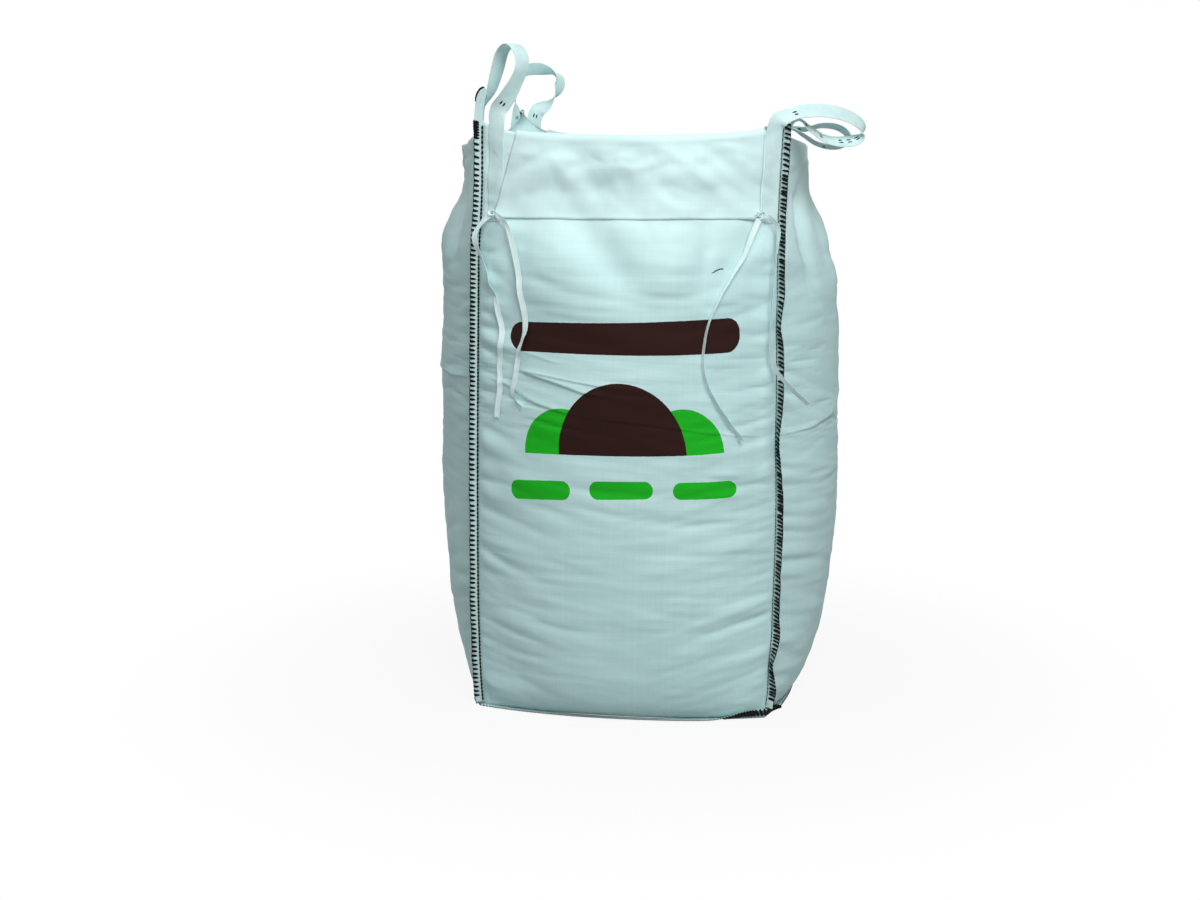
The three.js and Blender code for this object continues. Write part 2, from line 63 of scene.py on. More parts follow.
CREASE_HEIGHT = 0.825
CREASE_TILT = 0.045
CREASE_REACH = 0.260
RIM_SAG = (0.018, 0.045, 0.030, 0.045)
CORNER_LIFT = (0.024, 0.012, -0.020, 0.048)
CORNER_PEAK = 8
BACK_LEFT_DRAW = 0.024
FRONT_RIGHT_DRAW = 0.024
DRAW_HEIGHT = 1.250
DRAW_REACH = 0.560
TOP_DIP = 0.095
PANEL_WIDTH = 0.900
UP = Vector((0, 0, 1))


def mix(low, high, share):
    return low + (high - low) * share


def ease(value, low, high):
    """A share that rises smoothly from 0 at low to 1 at high."""
    share = min(max((value - low) / (high - low), 0.0), 1.0)
    return share * share * (3.0 - 2.0 * share)


def hump(distance, width):
    """A smooth bump of height 1 that has faded out a couple of widths away."""
    return math.exp(-((distance / width) ** 2))


def panel_place(panel):
    """Which of the four panels a panel number is on, and how far across it, from -1 to 1."""
    side = int(math.floor(panel)) % 4
    return side, 2.0 * (panel - math.floor(panel)) - 1.0


def slackness(side, across, height):
    """How much the wall above the soil has drawn in, and how far the place faces the right."""
    turn = side * math.pi / 2
    east = (math.sin(turn) + math.cos(turn) * across) / math.hypot(1.0, across)
    soil = RIM_HEIGHT - mix(SLACK_LEFT, SLACK_RIGHT, (1.0 + east) / 2)
    return ease(height, soil, RIM_HEIGHT - NECK_DROP), east


def wall_point(panel, height, relief=None):
    """A point of the wall. Panel numbers run round the bag from the front left seam, and the
    height is measured along the cloth. The relief, if given, moves the cloth in or out."""
    side, across = panel_place(panel)
    turn = side * math.pi / 2
    out = Vector((math.sin(turn), -math.cos(turn)))
    along = Vector((math.cos(turn), math.sin(turn)))
    slack, east = slackness(side, across, height)
    grown = min(max(height, 0.0) / BELLY_HEIGHT, 1.0)
    swell = math.sqrt(1.0 - (1.0 - grown) ** 2)
    corner = mix(mix(CORNER_FOOT, CORNER_BELLY, swell), CORNER_RIM, slack)
    middle = mix(mix(SIDE_FOOT, SIDE_BELLY, swell), SIDE_RIM - RIM_PULL[side], slack)
    bow = 1.0 - abs(across) ** PANEL_ROUND
    fold = FOLD_DEPTH * slack * (1.0 - across ** 2) ** 2
    wave = math.sin(math.pi * FOLD_TURNS * across + 1.9 * side + height / RIM_HEIGHT)
    distance = corner + (middle - corner) * bow + fold * wave
    if relief:
        distance += relief(side, across, height, slack)
    tilt = CREASE_TILT * hump(height - CREASE_HEIGHT, CREASE_REACH)
    neck = ease(height, RIM_HEIGHT - NECK_DROP, RIM_HEIGHT)
    sag = RIM_SAG[side] * (1.0 - across ** 2) * neck
    seam = side if across < 0 else (side + 1) % 4
    lift = CORNER_LIFT[seam] * abs(across) ** CORNER_PEAK * neck
    pull = FRONT_RIGHT_DRAW * hump(height - DRAW_HEIGHT, DRAW_REACH)
    drawn = (0.0, -pull, 0.0, BACK_LEFT_DRAW * slack)[seam] * across ** 4
    flat = out * distance + along * (corner * across)
    twist = mix(TWIST_FOOT, TWIST_RIM, height / RIM_HEIGHT)
    x = flat.x * math.cos(twist) - flat.y * math.sin(twist)
    y = flat.x * math.sin(twist) + flat.y * math.cos(twist)
    return Vector((x + drawn, y, height - tilt * east - sag + lift))


def wall_normal(panel, height):
    """The outward direction of the smooth wall."""
    inside = math.floor(panel) + min(max(panel - math.floor(panel), 0.01), 0.99)
    across = wall_point(inside + 0.005, height) - wall_point(inside - 0.005, height)
    rise = wall_point(inside, height + 0.002) - wall_point(inside, height - 0.002)
    return across.cross(rise).normalized()


def off_wall(panel, height, distance):
    return wall_point(panel, height) + wall_normal(panel, height) * distance


def bowl_height(rim_height, share):
    """The closed top's height at a share of the way from the axis to a point of the rim."""
    edge = mix(RIM_HEIGHT, rim_height, share ** 4)
    return mix(RIM_HEIGHT - TOP_DIP, edge, share ** 2)


def crinkle(x, y, seed):
    """Smooth noise of about -1 to 1 that differs with its seed."""
    return noise.noise(Vector((x, y, 7.31 * seed)))


def puffs(x, y, seed):
    """Soft puffs with sharp valleys between them, as in cloth that has been pushed together."""
    return abs(crinkle(x, y, seed)) - 0.20


def along_fold(x, height, places):
    """How far a place lies above a fold's line, and how strong the fold is there: it fades at its
    ends and away from them."""
    for (x1, h1), (x2, h2) in zip(places, places[1:]):
        if x1 <= x <= x2:
            line = mix(h1, h2, (x - x1) / (x2 - x1))
            first, last = places[0][0], places[-1][0]
            run = last - first
            return height - line, ease(x, first, first + 0.2 * run) * (1 - ease(x, last - 0.2 * run, last))
    return 1.0, 0.0


# Creases that cross a panel, as points along it (metres from its middle, height of the cloth), with
# the height of the soft shoulder over the crease and how far its edge stands out.
CREASE_LEDGE = 0.0045
CREASES = {
    0: [
        ([(-0.33, 0.945), (-0.20, 0.922), (-0.11, 0.903), (-0.04, 0.902)], 0.012, 0.0068),
        ([(-0.33, 0.946), (-0.20, 0.936), (-0.11, 0.930), (-0.02, 0.926)], 0.008, 0.0034),
        ([(-0.35, 1.010), (-0.26, 0.988), (-0.18, 0.972)], 0.006, 0.0022),
        ([(-0.43, 0.912), (-0.35, 0.896), (-0.27, 0.862), (-0.13, 0.838)], 0.010, 0.0044),
        ([(-0.16, 0.842), (0.09, 0.842), (0.30, 0.826), (0.45, 0.818)], 0.018, 0.0030),
    ],
    1: [
        ([(-0.45, 0.818), (-0.33, 0.826), (-0.20, 0.850), (-0.06, 0.900), (0.02, 0.912)], 0.018, 0.0050),
        ([(0.00, 0.822), (0.20, 0.836), (0.45, 0.826)], 0.020, 0.0050),
    ],
    2: [
        ([(-0.45, 0.826), (-0.20, 0.842), (0.05, 0.830), (0.24, 0.846)], 0.020, 0.0050),
        ([(0.00, 0.872), (0.22, 0.878), (0.45, 0.862)], 0.018, 0.0040),
    ],
    3: [
        ([(-0.45, 0.862), (-0.20, 0.850), (0.08, 0.848)], 0.018, 0.0040),
        ([(-0.04, 0.872), (0.18, 0.882), (0.34, 0.888), (0.45, 0.900)], 0.020, 0.0050),
    ],
}
# Soft folds in the cloth: middle of the fold, its half length and half width, its slope on the panel
# and how far it stands out or is pushed in.
SOFT_FOLDS = {
    0: [
        (0.420, 0.830, 0.190, 0.013, 90, 0.0110),
        (-0.070, 1.262, 0.130, 0.050, -42, -0.0240),
        (0.115, 1.240, 0.110, 0.085, 80, 0.0160),
        (0.212, 1.250, 0.100, 0.022, 86, -0.0130),
        (-0.205, 1.265, 0.080, 0.060, 60, 0.0130),
        (-0.330, 1.230, 0.130, 0.040, 80, -0.0120),
        (0.330, 1.290, 0.090, 0.030, 50, -0.0100),
        (0.300, 1.120, 0.110, 0.045, 15, -0.0080),
        (-0.240, 1.060, 0.140, 0.040, -12, -0.0060),
    ],
    1: [
        (-0.250, 1.330, 0.160, 0.035, 62, -0.0240),
        (-0.070, 1.300, 0.170, 0.045, 75, 0.0200),
        (0.110, 1.310, 0.150, 0.040, -70, -0.0220),
        (0.280, 1.300, 0.140, 0.040, -62, 0.0140),
        (-0.020, 1.120, 0.200, 0.050, 8, -0.0100),
    ],
    2: [
        (-0.230, 1.340, 0.150, 0.045, 60, -0.0200),
        (0.000, 1.320, 0.140, 0.070, 85, 0.0140),
        (0.220, 1.330, 0.150, 0.040, -65, -0.0200),
        (0.060, 1.110, 0.220, 0.045, -6, -0.0080),
    ],
    3: [
        (-0.230, 1.360, 0.150, 0.040, 64, -0.0220),
        (0.000, 1.340, 0.150, 0.050, 80, 0.0180),
        (0.230, 1.360, 0.150, 0.036, -60, -0.0220),
        (-0.050, 1.140, 0.200, 0.045, 10, -0.0090),
    ],
}


def cloth_relief(side, across, height, slack):
    """How far the filled cloth stands out of its smooth form: puckers that pull in from the seams,
    level ripples, soft dents of the soil behind, creases and the crumpled slack above."""
    x = across * PANEL_WIDTH / 2
    seam = (1.0 - abs(across)) * PANEL_WIDTH / 2
    hand = 4 * (across > 0)
    filled = 1.0 - slack
    free = 1.0 - hump(seam, 0.014)
    foot = ease(height, 0.0, 0.06)

    leaning = height + (0.28 if across > 0 else 0.20) * seam
    pulled = 0.026 * puffs(4.5 * seam, 17.0 * leaning, 1 + side + hand) * math.exp(-seam / 0.15)
    pulled *= 0.35 + 0.65 * filled
    spread = ease(crinkle(1.9 * x, 2.4 * height, 21 + side), -0.25, 0.30)
    rippled = 0.006 * puffs(2.3 * x, 15.0 * height + 1.1 * x, 11 + side) * spread
    rippled *= filled * ease(height, 0.05, 0.20)
    fine = 0.0030 * puffs(5.0 * x, 34.0 * height + 2.0 * x, 16 + side) * filled
    dent = 0.011 * crinkle(2.9 * x, 2.6 * height, 31 + side)
    dent += 0.005 * crinkle(6.8 * x, 6.1 * height, 36 + side)
    if (side, across > 0) in ((0, True), (1, False)):
        low = 1.0 - ease(height, 0.75, 1.05)
        pulled += 0.011 * puffs(3.2 * seam, 33.0 * leaning, 26 + side) * math.exp(-seam / 0.19) * low

    crumple = 0.018 * crinkle(4.3 * x + 1.5 * height, 3.4 * height, 61 + side)
    crumple += 0.017 * puffs(6.5 * x - 4.0 * height, 6.0 * height, 71 + side)
    crumple += 0.006 * puffs(15.0 * x + 6.0 * height, 14.0 * height, 81 + side)

    folded = 0.0
    for fold_x, fold_height, half_length, half_width, slope, depth in SOFT_FOLDS[side]:
        turn = math.radians(slope)
        run = (x - fold_x) * math.cos(turn) + (height - fold_height) * math.sin(turn)
        off = (height - fold_height) * math.cos(turn) - (x - fold_x) * math.sin(turn)
        folded += depth * hump(run, half_length) * hump(off, half_width)
    return free * foot * (pulled + rippled + fine + dent * filled + folded + slack * crumple)


def pressed_crease(side, across, height):
    """How far the packing creases stand out: each is a soft shoulder that ends below in a ledge."""
    x = across * PANEL_WIDTH / 2
    creased = 0.0
    for places, shoulder, depth in CREASES[side]:
        offset, strength = along_fold(x, height, places)
        if offset > 0:
            creased += depth * strength * math.exp(-offset / shoulder)
        else:
            creased += depth * strength * (1.0 - ease(-offset, 0.0, CREASE_LEDGE))
    return creased


CREASE_ZONE = (0.78, 1.04)
PANEL_CELLS = 68
WALL_ROWS = 210
TOP_RINGS = 14
BASE_RINGS = 6

sack_mesh = bmesh.new()
sack_uv = sack_mesh.loops.layers.uv.new("cloth")
bmesh.ops.create_grid(
    sack_mesh, x_segments=4 * PANEL_CELLS, y_segments=WALL_ROWS, size=0.5, calc_uvs=True
)
for face in sack_mesh.faces:
    for loop in face.loops:
        place = loop.vert.co
        loop[sack_uv].uv = ((place.x + 0.5) * 4 * PANEL_WIDTH, (place.y + 0.5) * RIM_HEIGHT)
sack_held = sack_mesh.verts.layers.float.new("held")
sack_panel = sack_mesh.verts.layers.float.new("panel")
sack_height = sack_mesh.verts.layers.float.new("height")
for vert in sack_mesh.verts:
    panel = min((vert.co.x + 0.5) * 4, 3.99999)
    height = RIM_HEIGHT * (vert.co.y + 0.5) ** 1.06
    sewn = abs(panel - round(panel)) < 0.6 / PANEL_CELLS
    vert[sack_held] = 1.0 if sewn or height < 0.004 or height > RIM_HEIGHT - 0.05 else 0.0
    vert[sack_panel] = panel
    vert[sack_height] = height
    vert.co = wall_point(panel, height, cloth_relief)


def close_inwards(mesh, uv, edges, rings, height_at):
    """Draws an open edge in to the axis, ring by ring, and closes the middle."""
    ring = edges
    start = {}
    for count in range(1, rings):
        share = 1.0 - count / rings
        made = bmesh.ops.extrude_edge_only(mesh, edges=ring)["geom"]
        ring = [g for g in made if isinstance(g, bmesh.types.BMEdge)]
        verts = [g for g in made if isinstance(g, bmesh.types.BMVert)]
        for vert in verts:
            before = next(e.other_vert(vert) for e in vert.link_edges if e not in ring)
            start[vert] = start.get(before, before.co.copy())
            first = start[vert]
            vert.co = (first.x * share, first.y * share, height_at(first.z, share))
    filled = bmesh.ops.holes_fill(mesh, edges=[e for e in ring if e.is_boundary], sides=0)["faces"]
    inner = set(filled)
    for vert in start:
        inner.update(vert.link_faces)
    for face in inner:
        for loop in face.loops:
            loop[uv].uv = (loop.vert.co.x, loop.vert.co.y)


bmesh.ops.remove_doubles(sack_mesh, verts=sack_mesh.verts[:], dist=0.0002)
rim_edges = [e for e in sack_mesh.edges if e.is_boundary and e.verts[0].co.z > RIM_HEIGHT / 2]
foot_edges = [e for e in sack_mesh.edges if e.is_boundary and e.verts[0].co.z < RIM_HEIGHT / 2]
close_inwards(sack_mesh, sack_uv, rim_edges, TOP_RINGS, bowl_height)
close_inwards(sack_mesh, sack_uv, foot_edges, BASE_RINGS, lambda z, share: 0.0)
bmesh.ops.recalc_face_normals(sack_mesh, faces=sack_mesh.faces[:])


def make_piece(name, mesh, replaced=()):
    """Turns a finished mesh into a smooth piece that stands with the bag."""
    data = bpy.data.meshes.new(name)
    mesh.to_mesh(data)
    mesh.free()
    for polygon in data.polygons:
        polygon.use_smooth = True
    piece = bpy.data.objects.new(name, data)
    bpy.context.scene.collection.objects.link(piece)
    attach(piece, "root")
    if replaced:
        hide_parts(*replaced)
    return piece


def new_node(tree, kind, inputs=None, **settings):
    """Adds a shader node with its settings, and links or sets its inputs."""
    node = tree.nodes.new(kind)
    for name, value in settings.items():
        setattr(node, name, value)
    for name, value in (inputs or {}).items():
        if isinstance(value, bpy.types.NodeSocket):
            tree.links.new(value, node.inputs[name])
        else:
            node.inputs[name].default_value = value
    return node


def start_material(name, roughness):
    """A material with an empty Principled shader, ready for its own pattern."""
    material = bpy.data.materials.new(name)
    material.use_nodes = True
    tree = material.node_tree
    shader = tree.nodes["Principled BSDF"]
    shader.inputs["Roughness"].default_value = roughness
    return material, tree, shader


LINE_SPACING = 0.26


def woven_material(name, uv_name, colour, dark, bump, print_front=False):
    """Flat polypropylene tapes woven over and under each other, with tapes of slightly different
    whiteness up and across the cloth, a faint upright line where the loom's widths meet, and soft
    clouds of handling dust."""
    material, tree, shader = start_material(name, 0.60)
    shader.inputs["Specular IOR Level"].default_value = 0.10
    uv = new_node(tree, "ShaderNodeUVMap", uv_map=uv_name).outputs["UV"]
    upright = new_node(tree, "ShaderNodeMapping", {"Vector": uv, "Scale": (1.0, 0.012, 1.0)})
    level = new_node(tree, "ShaderNodeMapping", {"Vector": uv, "Scale": (0.02, 1.0, 1.0)})
    warp = new_node(tree, "ShaderNodeTexNoise", {"Vector": upright.outputs[0], "Scale": 95.0})
    weft = new_node(tree, "ShaderNodeTexNoise", {"Vector": level.outputs[0], "Scale": 110.0})
    cloud = new_node(tree, "ShaderNodeTexNoise", {"Vector": uv, "Scale": 3.2, "Detail": 5.0})
    tapes = new_node(
        tree, "ShaderNodeMath", {0: warp.outputs["Fac"], 1: weft.outputs["Fac"]}, operation="ADD"
    )
    shade = new_node(
        tree, "ShaderNodeMath", {0: tapes.outputs[0], 1: 0.5, 2: cloud.outputs["Fac"]}, operation="MULTIPLY_ADD"
    )
    range_node = new_node(
        tree, "ShaderNodeMapRange", {"Value": shade.outputs[0], "From Min": 0.60, "From Max": 1.40}
    )
    blend = new_node(
        tree,
        "ShaderNodeMix",
        {"Factor": range_node.outputs[0], 6: (*dark, 1.0), 7: (*colour, 1.0)},
        data_type="RGBA",
    )
    across_place = new_node(tree, "ShaderNodeSeparateXYZ", {0: uv}).outputs["X"]
    line_place = new_node(
        tree, "ShaderNodeMath", {0: across_place, 1: LINE_SPACING / 2}, operation="PINGPONG"
    ).outputs[0]
    line = new_node(tree, "ShaderNodeMath", {0: line_place, 1: 0.0013}, operation="LESS_THAN").outputs[0]
    faint = new_node(tree, "ShaderNodeMath", {0: line, 1: 0.30}, operation="MULTIPLY").outputs[0]
    lined = new_node(
        tree,
        "ShaderNodeMix",
        {"Factor": faint, 6: blend.outputs[2], 7: (*dark, 1.0)},
        data_type="RGBA",
    )
    cloth_colour = lined.outputs[2]
    if print_front:
        cloth_colour = print_front(tree, uv, cloth_colour)
    tree.links.new(cloth_colour, shader.inputs["Base Color"])

    weave_up = new_node(
        tree,
        "ShaderNodeTexWave",
        {"Vector": uv, "Scale": 56.0, "Distortion": 0.4, "Detail": 1.0},
        bands_direction="X",
    )
    weave_across = new_node(
        tree,
        "ShaderNodeTexWave",
        {"Vector": uv, "Scale": 56.0, "Distortion": 0.4, "Detail": 1.0},
        bands_direction="Y",
    )
    weave = new_node(
        tree,
        "ShaderNodeMath",
        {0: weave_up.outputs["Fac"], 1: weave_across.outputs["Fac"]},
        operation="ADD",
    )
    grain = new_node(tree, "ShaderNodeTexNoise", {"Vector": uv, "Scale": 60.0, "Detail": 4.0})
    relief = new_node(
        tree,
        "ShaderNodeMath",
        {0: grain.outputs["Fac"], 1: 1.6, 2: weave.outputs[0]},
        operation="MULTIPLY_ADD",
    )
    bumps = new_node(
        tree,
        "ShaderNodeBump",
        {"Height": relief.outputs[0], "Strength": bump, "Distance": 0.0006},
    )
    tree.links.new(bumps.outputs[0], shader.inputs["Normal"])
    return material


# Painted light: the whiter tone that the cloth above the soil is blended towards, standing in for light shining
# through it.
PAINTED_GLOW_WHITE = (0.745, 0.970, 0.970)
LOW_SLOPE = 0.095
HIGH_SLOPE = 0.050


def soil_print(tree, uv, cloth):
    """The print on the front panel: a brown bar, three low mounds and a row of green dashes. Above
    the soil the cloth is painted whiter: painted light that stands in for light shining through the empty
    cloth."""
    middle = PANEL_WIDTH / 2
    brown = (0.024, 0.008, 0.006)
    green = (0.014, 0.470, 0.018)
    wander = new_node(tree, "ShaderNodeTexNoise", {"Vector": uv, "Scale": 240.0, "Detail": 2.0})
    ragged = new_node(
        tree,
        "ShaderNodeVectorMath",
        {0: wander.outputs["Color"], 1: (0.0022, 0.0022, 0.0), 2: uv},
        operation="MULTIPLY_ADD",
    ).outputs[0]

    def distance_from(centre, slope):
        part = new_node(
            tree, "ShaderNodeVectorMath", {0: ragged, 1: (*centre, 0.0)}, operation="SUBTRACT"
        ).outputs[0]
        return new_node(
            tree, "ShaderNodeVectorRotate", {"Vector": part, "Angle": -slope}, rotation_type="Z_AXIS"
        ).outputs[0]

    def inked(value, edge):
        return new_node(tree, "ShaderNodeMath", {0: value, 1: edge}, operation="LESS_THAN").outputs[0]

    def bar(centre, half, corner, slope):
        part = new_node(
            tree, "ShaderNodeVectorMath", {0: distance_from(centre, slope)}, operation="ABSOLUTE"
        ).outputs[0]
        core = (half[0] - corner, half[1] - corner, 0.0)
        past = new_node(tree, "ShaderNodeVectorMath", {0: part, 1: core}, operation="SUBTRACT").outputs[0]
        outside = new_node(
            tree, "ShaderNodeVectorMath", {0: past, 1: (0.0, 0.0, 0.0)}, operation="MAXIMUM"
        ).outputs[0]
        length = new_node(tree, "ShaderNodeVectorMath", {0: outside}, operation="LENGTH").outputs["Value"]
        return inked(length, corner)

    def mound(place, radius):
        part = distance_from((middle + place, 0.785 + LOW_SLOPE * place), LOW_SLOPE)
        length = new_node(tree, "ShaderNodeVectorMath", {0: part}, operation="LENGTH").outputs["Value"]
        rise = new_node(tree, "ShaderNodeSeparateXYZ", {0: part}).outputs["Y"]
        above = new_node(tree, "ShaderNodeMath", {0: rise, 1: 0.0}, operation="GREATER_THAN").outputs[0]
        return new_node(
            tree, "ShaderNodeMath", {0: inked(length, radius), 1: above}, operation="MULTIPLY"
        ).outputs[0]

    shapes = [
        (bar((middle - 0.005, 1.080), (0.335, 0.040), 0.040, HIGH_SLOPE), brown),
        (mound(-0.170, 0.118), green),
        (mound(0.175, 0.118), green),
        (mound(0.0, 0.185), brown),
    ]
    for place, rise, slope in ((-0.24, -0.023, 0.095), (0.0, 0.0, 0.085), (0.24, 0.012, 0.045)):
        shapes.append((bar((middle + place, 0.695 + rise), (0.092, 0.024), 0.024, slope), green))
    # Painted light: above the soil the cloth's colour fades towards the painted whiter tone.
    rise = new_node(tree, "ShaderNodeSeparateXYZ", {0: uv}).outputs["Y"]
    empty = new_node(
        tree,
        "ShaderNodeMapRange",
        {"Value": rise, "From Min": 1.24, "From Max": 1.44, "To Max": 0.85},
        interpolation_type="SMOOTHSTEP",
    ).outputs[0]
    cloth = new_node(
        tree, "ShaderNodeMix", {"Factor": empty, 6: cloth, 7: (*PAINTED_GLOW_WHITE, 1.0)}, data_type="RGBA"
    ).outputs[2]
    for mask, ink in shapes:
        cloth = new_node(
            tree, "ShaderNodeMix", {"Factor": mask, 6: cloth, 7: (*ink, 1.0)}, data_type="RGBA"
        ).outputs[2]
    return cloth


SETTLE_FRAMES = 20
SPARE_CLOTH = 0.010
SETTLE_CAP = 0.015
SETTLE_CAP_TOP = 0.006


def settle_cloth(piece, pressure):
    """Lets the woven cloth settle: it has a little spare length, its seams, rim and base are held
    and the fill pushes from inside, so it buckles into the ripples and puckers of a filled bag."""
    scene = bpy.context.scene
    start = [v.co.copy() for v in piece.data.vertices]
    held = piece.vertex_groups.new(name="held")
    pushed = piece.vertex_groups.new(name="pushed")
    for i, value in enumerate(piece.data.attributes["held"].data):
        held.add([i], value.value, "REPLACE")
        slack = ease(start[i].z, RIM_HEIGHT - 0.50, RIM_HEIGHT - 0.30)
        pushed.add([i], 1.0 - 0.85 * slack, "REPLACE")
    cloth = piece.modifiers.new("settle", "CLOTH")
    cloth.settings.quality = 6
    cloth.settings.mass = 0.15
    cloth.settings.tension_stiffness = 60.0
    cloth.settings.compression_stiffness = 60.0
    cloth.settings.shear_stiffness = 12.0
    cloth.settings.bending_stiffness = 0.15
    cloth.settings.tension_damping = 15.0
    cloth.settings.compression_damping = 15.0
    cloth.settings.air_damping = 1.0
    cloth.settings.shrink_min = -SPARE_CLOTH
    cloth.settings.vertex_group_mass = "held"
    cloth.settings.use_pressure = True
    cloth.settings.uniform_pressure_force = pressure
    cloth.settings.vertex_group_pressure = "pushed"
    cloth.settings.effector_weights.gravity = 0.0
    cloth.collision_settings.use_collision = False
    cloth.point_cache.frame_start = 1
    cloth.point_cache.frame_end = SETTLE_FRAMES
    for step in range(1, SETTLE_FRAMES + 1):
        scene.frame_set(step)
    settled = piece.evaluated_get(bpy.context.evaluated_depsgraph_get()).data
    moved = [v.co - before for v, before in zip(settled.vertices, start)]
    piece.modifiers.remove(cloth)
    piece.vertex_groups.clear()
    for vert, before, move in zip(piece.data.vertices, start, moved):
        cap = mix(SETTLE_CAP, SETTLE_CAP_TOP, ease(before.z, 1.18, 1.33))
        vert.co = before + move * (cap / (cap + move.length))
    scene.frame_set(1)


def press_creases(piece):
    """Cuts the cells finer where the packing creases run and presses these into the settled cloth."""
    fine = bmesh.new()
    fine.from_mesh(piece.data)
    height_layer = fine.verts.layers.float["height"]
    rising = []
    for edge in fine.edges:
        low, high = sorted(vert[height_layer] for vert in edge.verts)
        if CREASE_ZONE[0] < low and high < CREASE_ZONE[1] and high - low > 0.001:
            rising.append(edge)
    bmesh.ops.subdivide_edges(fine, edges=rising, cuts=2)
    fine.to_mesh(piece.data)
    fine.free()
    panels = [value.value for value in piece.data.attributes["panel"].data]
    heights = [value.value for value in piece.data.attributes["height"].data]
    facings = [vert.normal.copy() for vert in piece.data.vertices]
    for vert, panel, height, facing in zip(piece.data.vertices, panels, heights, facings):
        side, across = panel_place(panel)
        vert.co += facing * pressed_crease(side, across, height)
    for name in ("held", "panel", "height"):
        piece.data.attributes.remove(piece.data.attributes[name])


SACK_WHITE = (0.625, 0.865, 0.865)
SACK_GREY = (0.530, 0.760, 0.770)
sack = make_piece("filled_sack", sack_mesh, ["bag_body"])
settle_cloth(sack, 4.0)
press_creases(sack)
sack_tree = BVHTree.FromPolygons(
    [v.co for v in sack.data.vertices], [tuple(p.vertices) for p in sack.data.polygons]
)


def on_sack(place, gap):
    """The nearest place on the sack's cloth, and a gap off it."""
    touch, facing, face, distance = sack_tree.find_nearest(place)
    return touch + facing * gap


def clear_of_sack(place, gap):
    """The place itself, or where it comes to rest if the sack stands in its way."""
    touch, facing, face, distance = sack_tree.find_nearest(place)
    depth = (place - touch).dot(facing)
    if depth < -0.7 * distance:
        return touch + facing * gap
    if distance < gap:
        return place + facing * (gap - max(depth, 0.0))
    return place


sack.data.materials.append(woven_material("woven_sack", "cloth", SACK_WHITE, SACK_GREY, 0.12, soil_print))


# The corner seams. The edges of two panels are turned out together and overlocked with thick black
# thread, whose bars cross the fin and wrap its edge. A black chain stitch runs at its root.
SEAM_WIDTH = 0.024
CORNERS = {
    "front_left": {
        "seam": 0,
        "fin": (-0.9, -0.44),
        "foot": 0.010,
        "tab": 0.084,
        "legs": ((0, 1, 0.038), (3, -1, 0.028)),
        "bar": (0.0130, 0.0034, 0.0035),
        "chain": 0.0030,
        "loose": 0.8,
        "sway": 0.12,
    },
    "front_right": {
        "seam": 1,
        "fin": (0.77, -0.64),
        "foot": 0.034,
        "tab": 0.005,
        "legs": ((0, -1, 0.028), (1, 1, 0.028)),
        "bar": (0.0110, 0.0034, 0.0050),
        "chain": 0.0014,
        "loose": 2.0,
        "sway": 0.26,
        "swings": (
            (1.40, 0.18, 0.16),
            (1.09, 0.04, -0.45),
            (0.80, 0.09, -0.50),
            (0.24, 0.030, 0.45),
            (0.155, 0.030, -0.45),
            (0.075, 0.025, 0.40),
        ),
    },
    "back_right": {
        "seam": 2,
        "fin": (0.7, 0.7),
        "foot": 0.010,
        "tab": 0.005,
        "legs": ((2, 1, 0.028), (1, -1, 0.028)),
        "bar": (0.0120, 0.0033, 0.0040),
        "chain": 0.0021,
        "loose": 1.2,
        "sway": 0.16,
    },
    "back_left": {
        "seam": 3,
        "fin": (-0.6, 0.8),
        "foot": 0.010,
        "tab": 0.010,
        "legs": ((2, -1, 0.038), (3, 1, 0.028)),
        "bar": (0.0125, 0.0034, 0.0040),
        "chain": 0.0021,
        "loose": 1.0,
        "sway": 0.16,
    },
}
TAB_LEAN = 0.014
FIN_THICK = 0.0030


def fin_frame(corner, height):
    """The root of a seam's fin at a height, the way the fin points and the way it faces."""
    top = min(height, RIM_HEIGHT)
    root = wall_point(corner["seam"], top) + UP * (height - top)
    if height > RIM_HEIGHT and corner["tab"] > 0.05:
        root.x += TAB_LEAN * ((height - RIM_HEIGHT) / corner["tab"]) ** 2
    turn = corner["sway"] * crinkle(5.0 * height, 3.0, 90 + corner["seam"])
    for place, reach, swing in corner.get("swings", ()):
        turn += swing * hump(height - place, reach)
    x, y = Vector(corner["fin"]).normalized()
    way = Vector((x * math.cos(turn) - y * math.sin(turn), x * math.sin(turn) + y * math.cos(turn), 0.0))
    facing = way.cross(UP).normalized()
    return root, way, facing


def fin_point(corner, height, reach, lift):
    """A point on or over the fin: a share of the way out from its root, and off its middle."""
    root, way, facing = fin_frame(corner, height)
    width = SEAM_WIDTH * (1.0 + 0.07 * crinkle(30.0 * height, 1.0, 95 + corner["seam"]))
    wave = 0.0022 * reach * crinkle(26.0 * height, 5.0, 99 + corner["seam"])
    return root + way * (width * reach) + facing * (lift + wave)


def make_fin(name, corner):
    fin = bmesh.new()
    uv = fin.loops.layers.uv.new("cloth")
    top = RIM_HEIGHT + corner["tab"]
    rows = int((top - corner["foot"]) / 0.008)
    bmesh.ops.create_grid(fin, x_segments=6, y_segments=rows, size=0.5, calc_uvs=True)
    for face in fin.faces:
        for loop in face.loops:
            loop[uv].uv = ((loop.vert.co.x + 0.5) * SEAM_WIDTH, (loop.vert.co.y + 0.5) * top)
    for vert in fin.verts:
        height = mix(corner["foot"], top, vert.co.y + 0.5)
        reach = vert.co.x + 0.5
        rounded = 0.012 * ease(height, top - 0.012, top) if corner["tab"] > 0.05 else 0.0
        past = abs(reach - 0.5) * 2
        vert.co = fin_point(corner, height - rounded * past ** 3, mix(-0.08, 1.0, reach), 0.0)
    bmesh.ops.solidify(fin, geom=fin.faces[:], thickness=FIN_THICK)
    bmesh.ops.recalc_face_normals(fin, faces=fin.faces[:])
    piece = make_piece("seam_fin_" + name, fin, ["corner_seam_" + name])
    piece.data.materials.append(seam_cloth)
    return piece


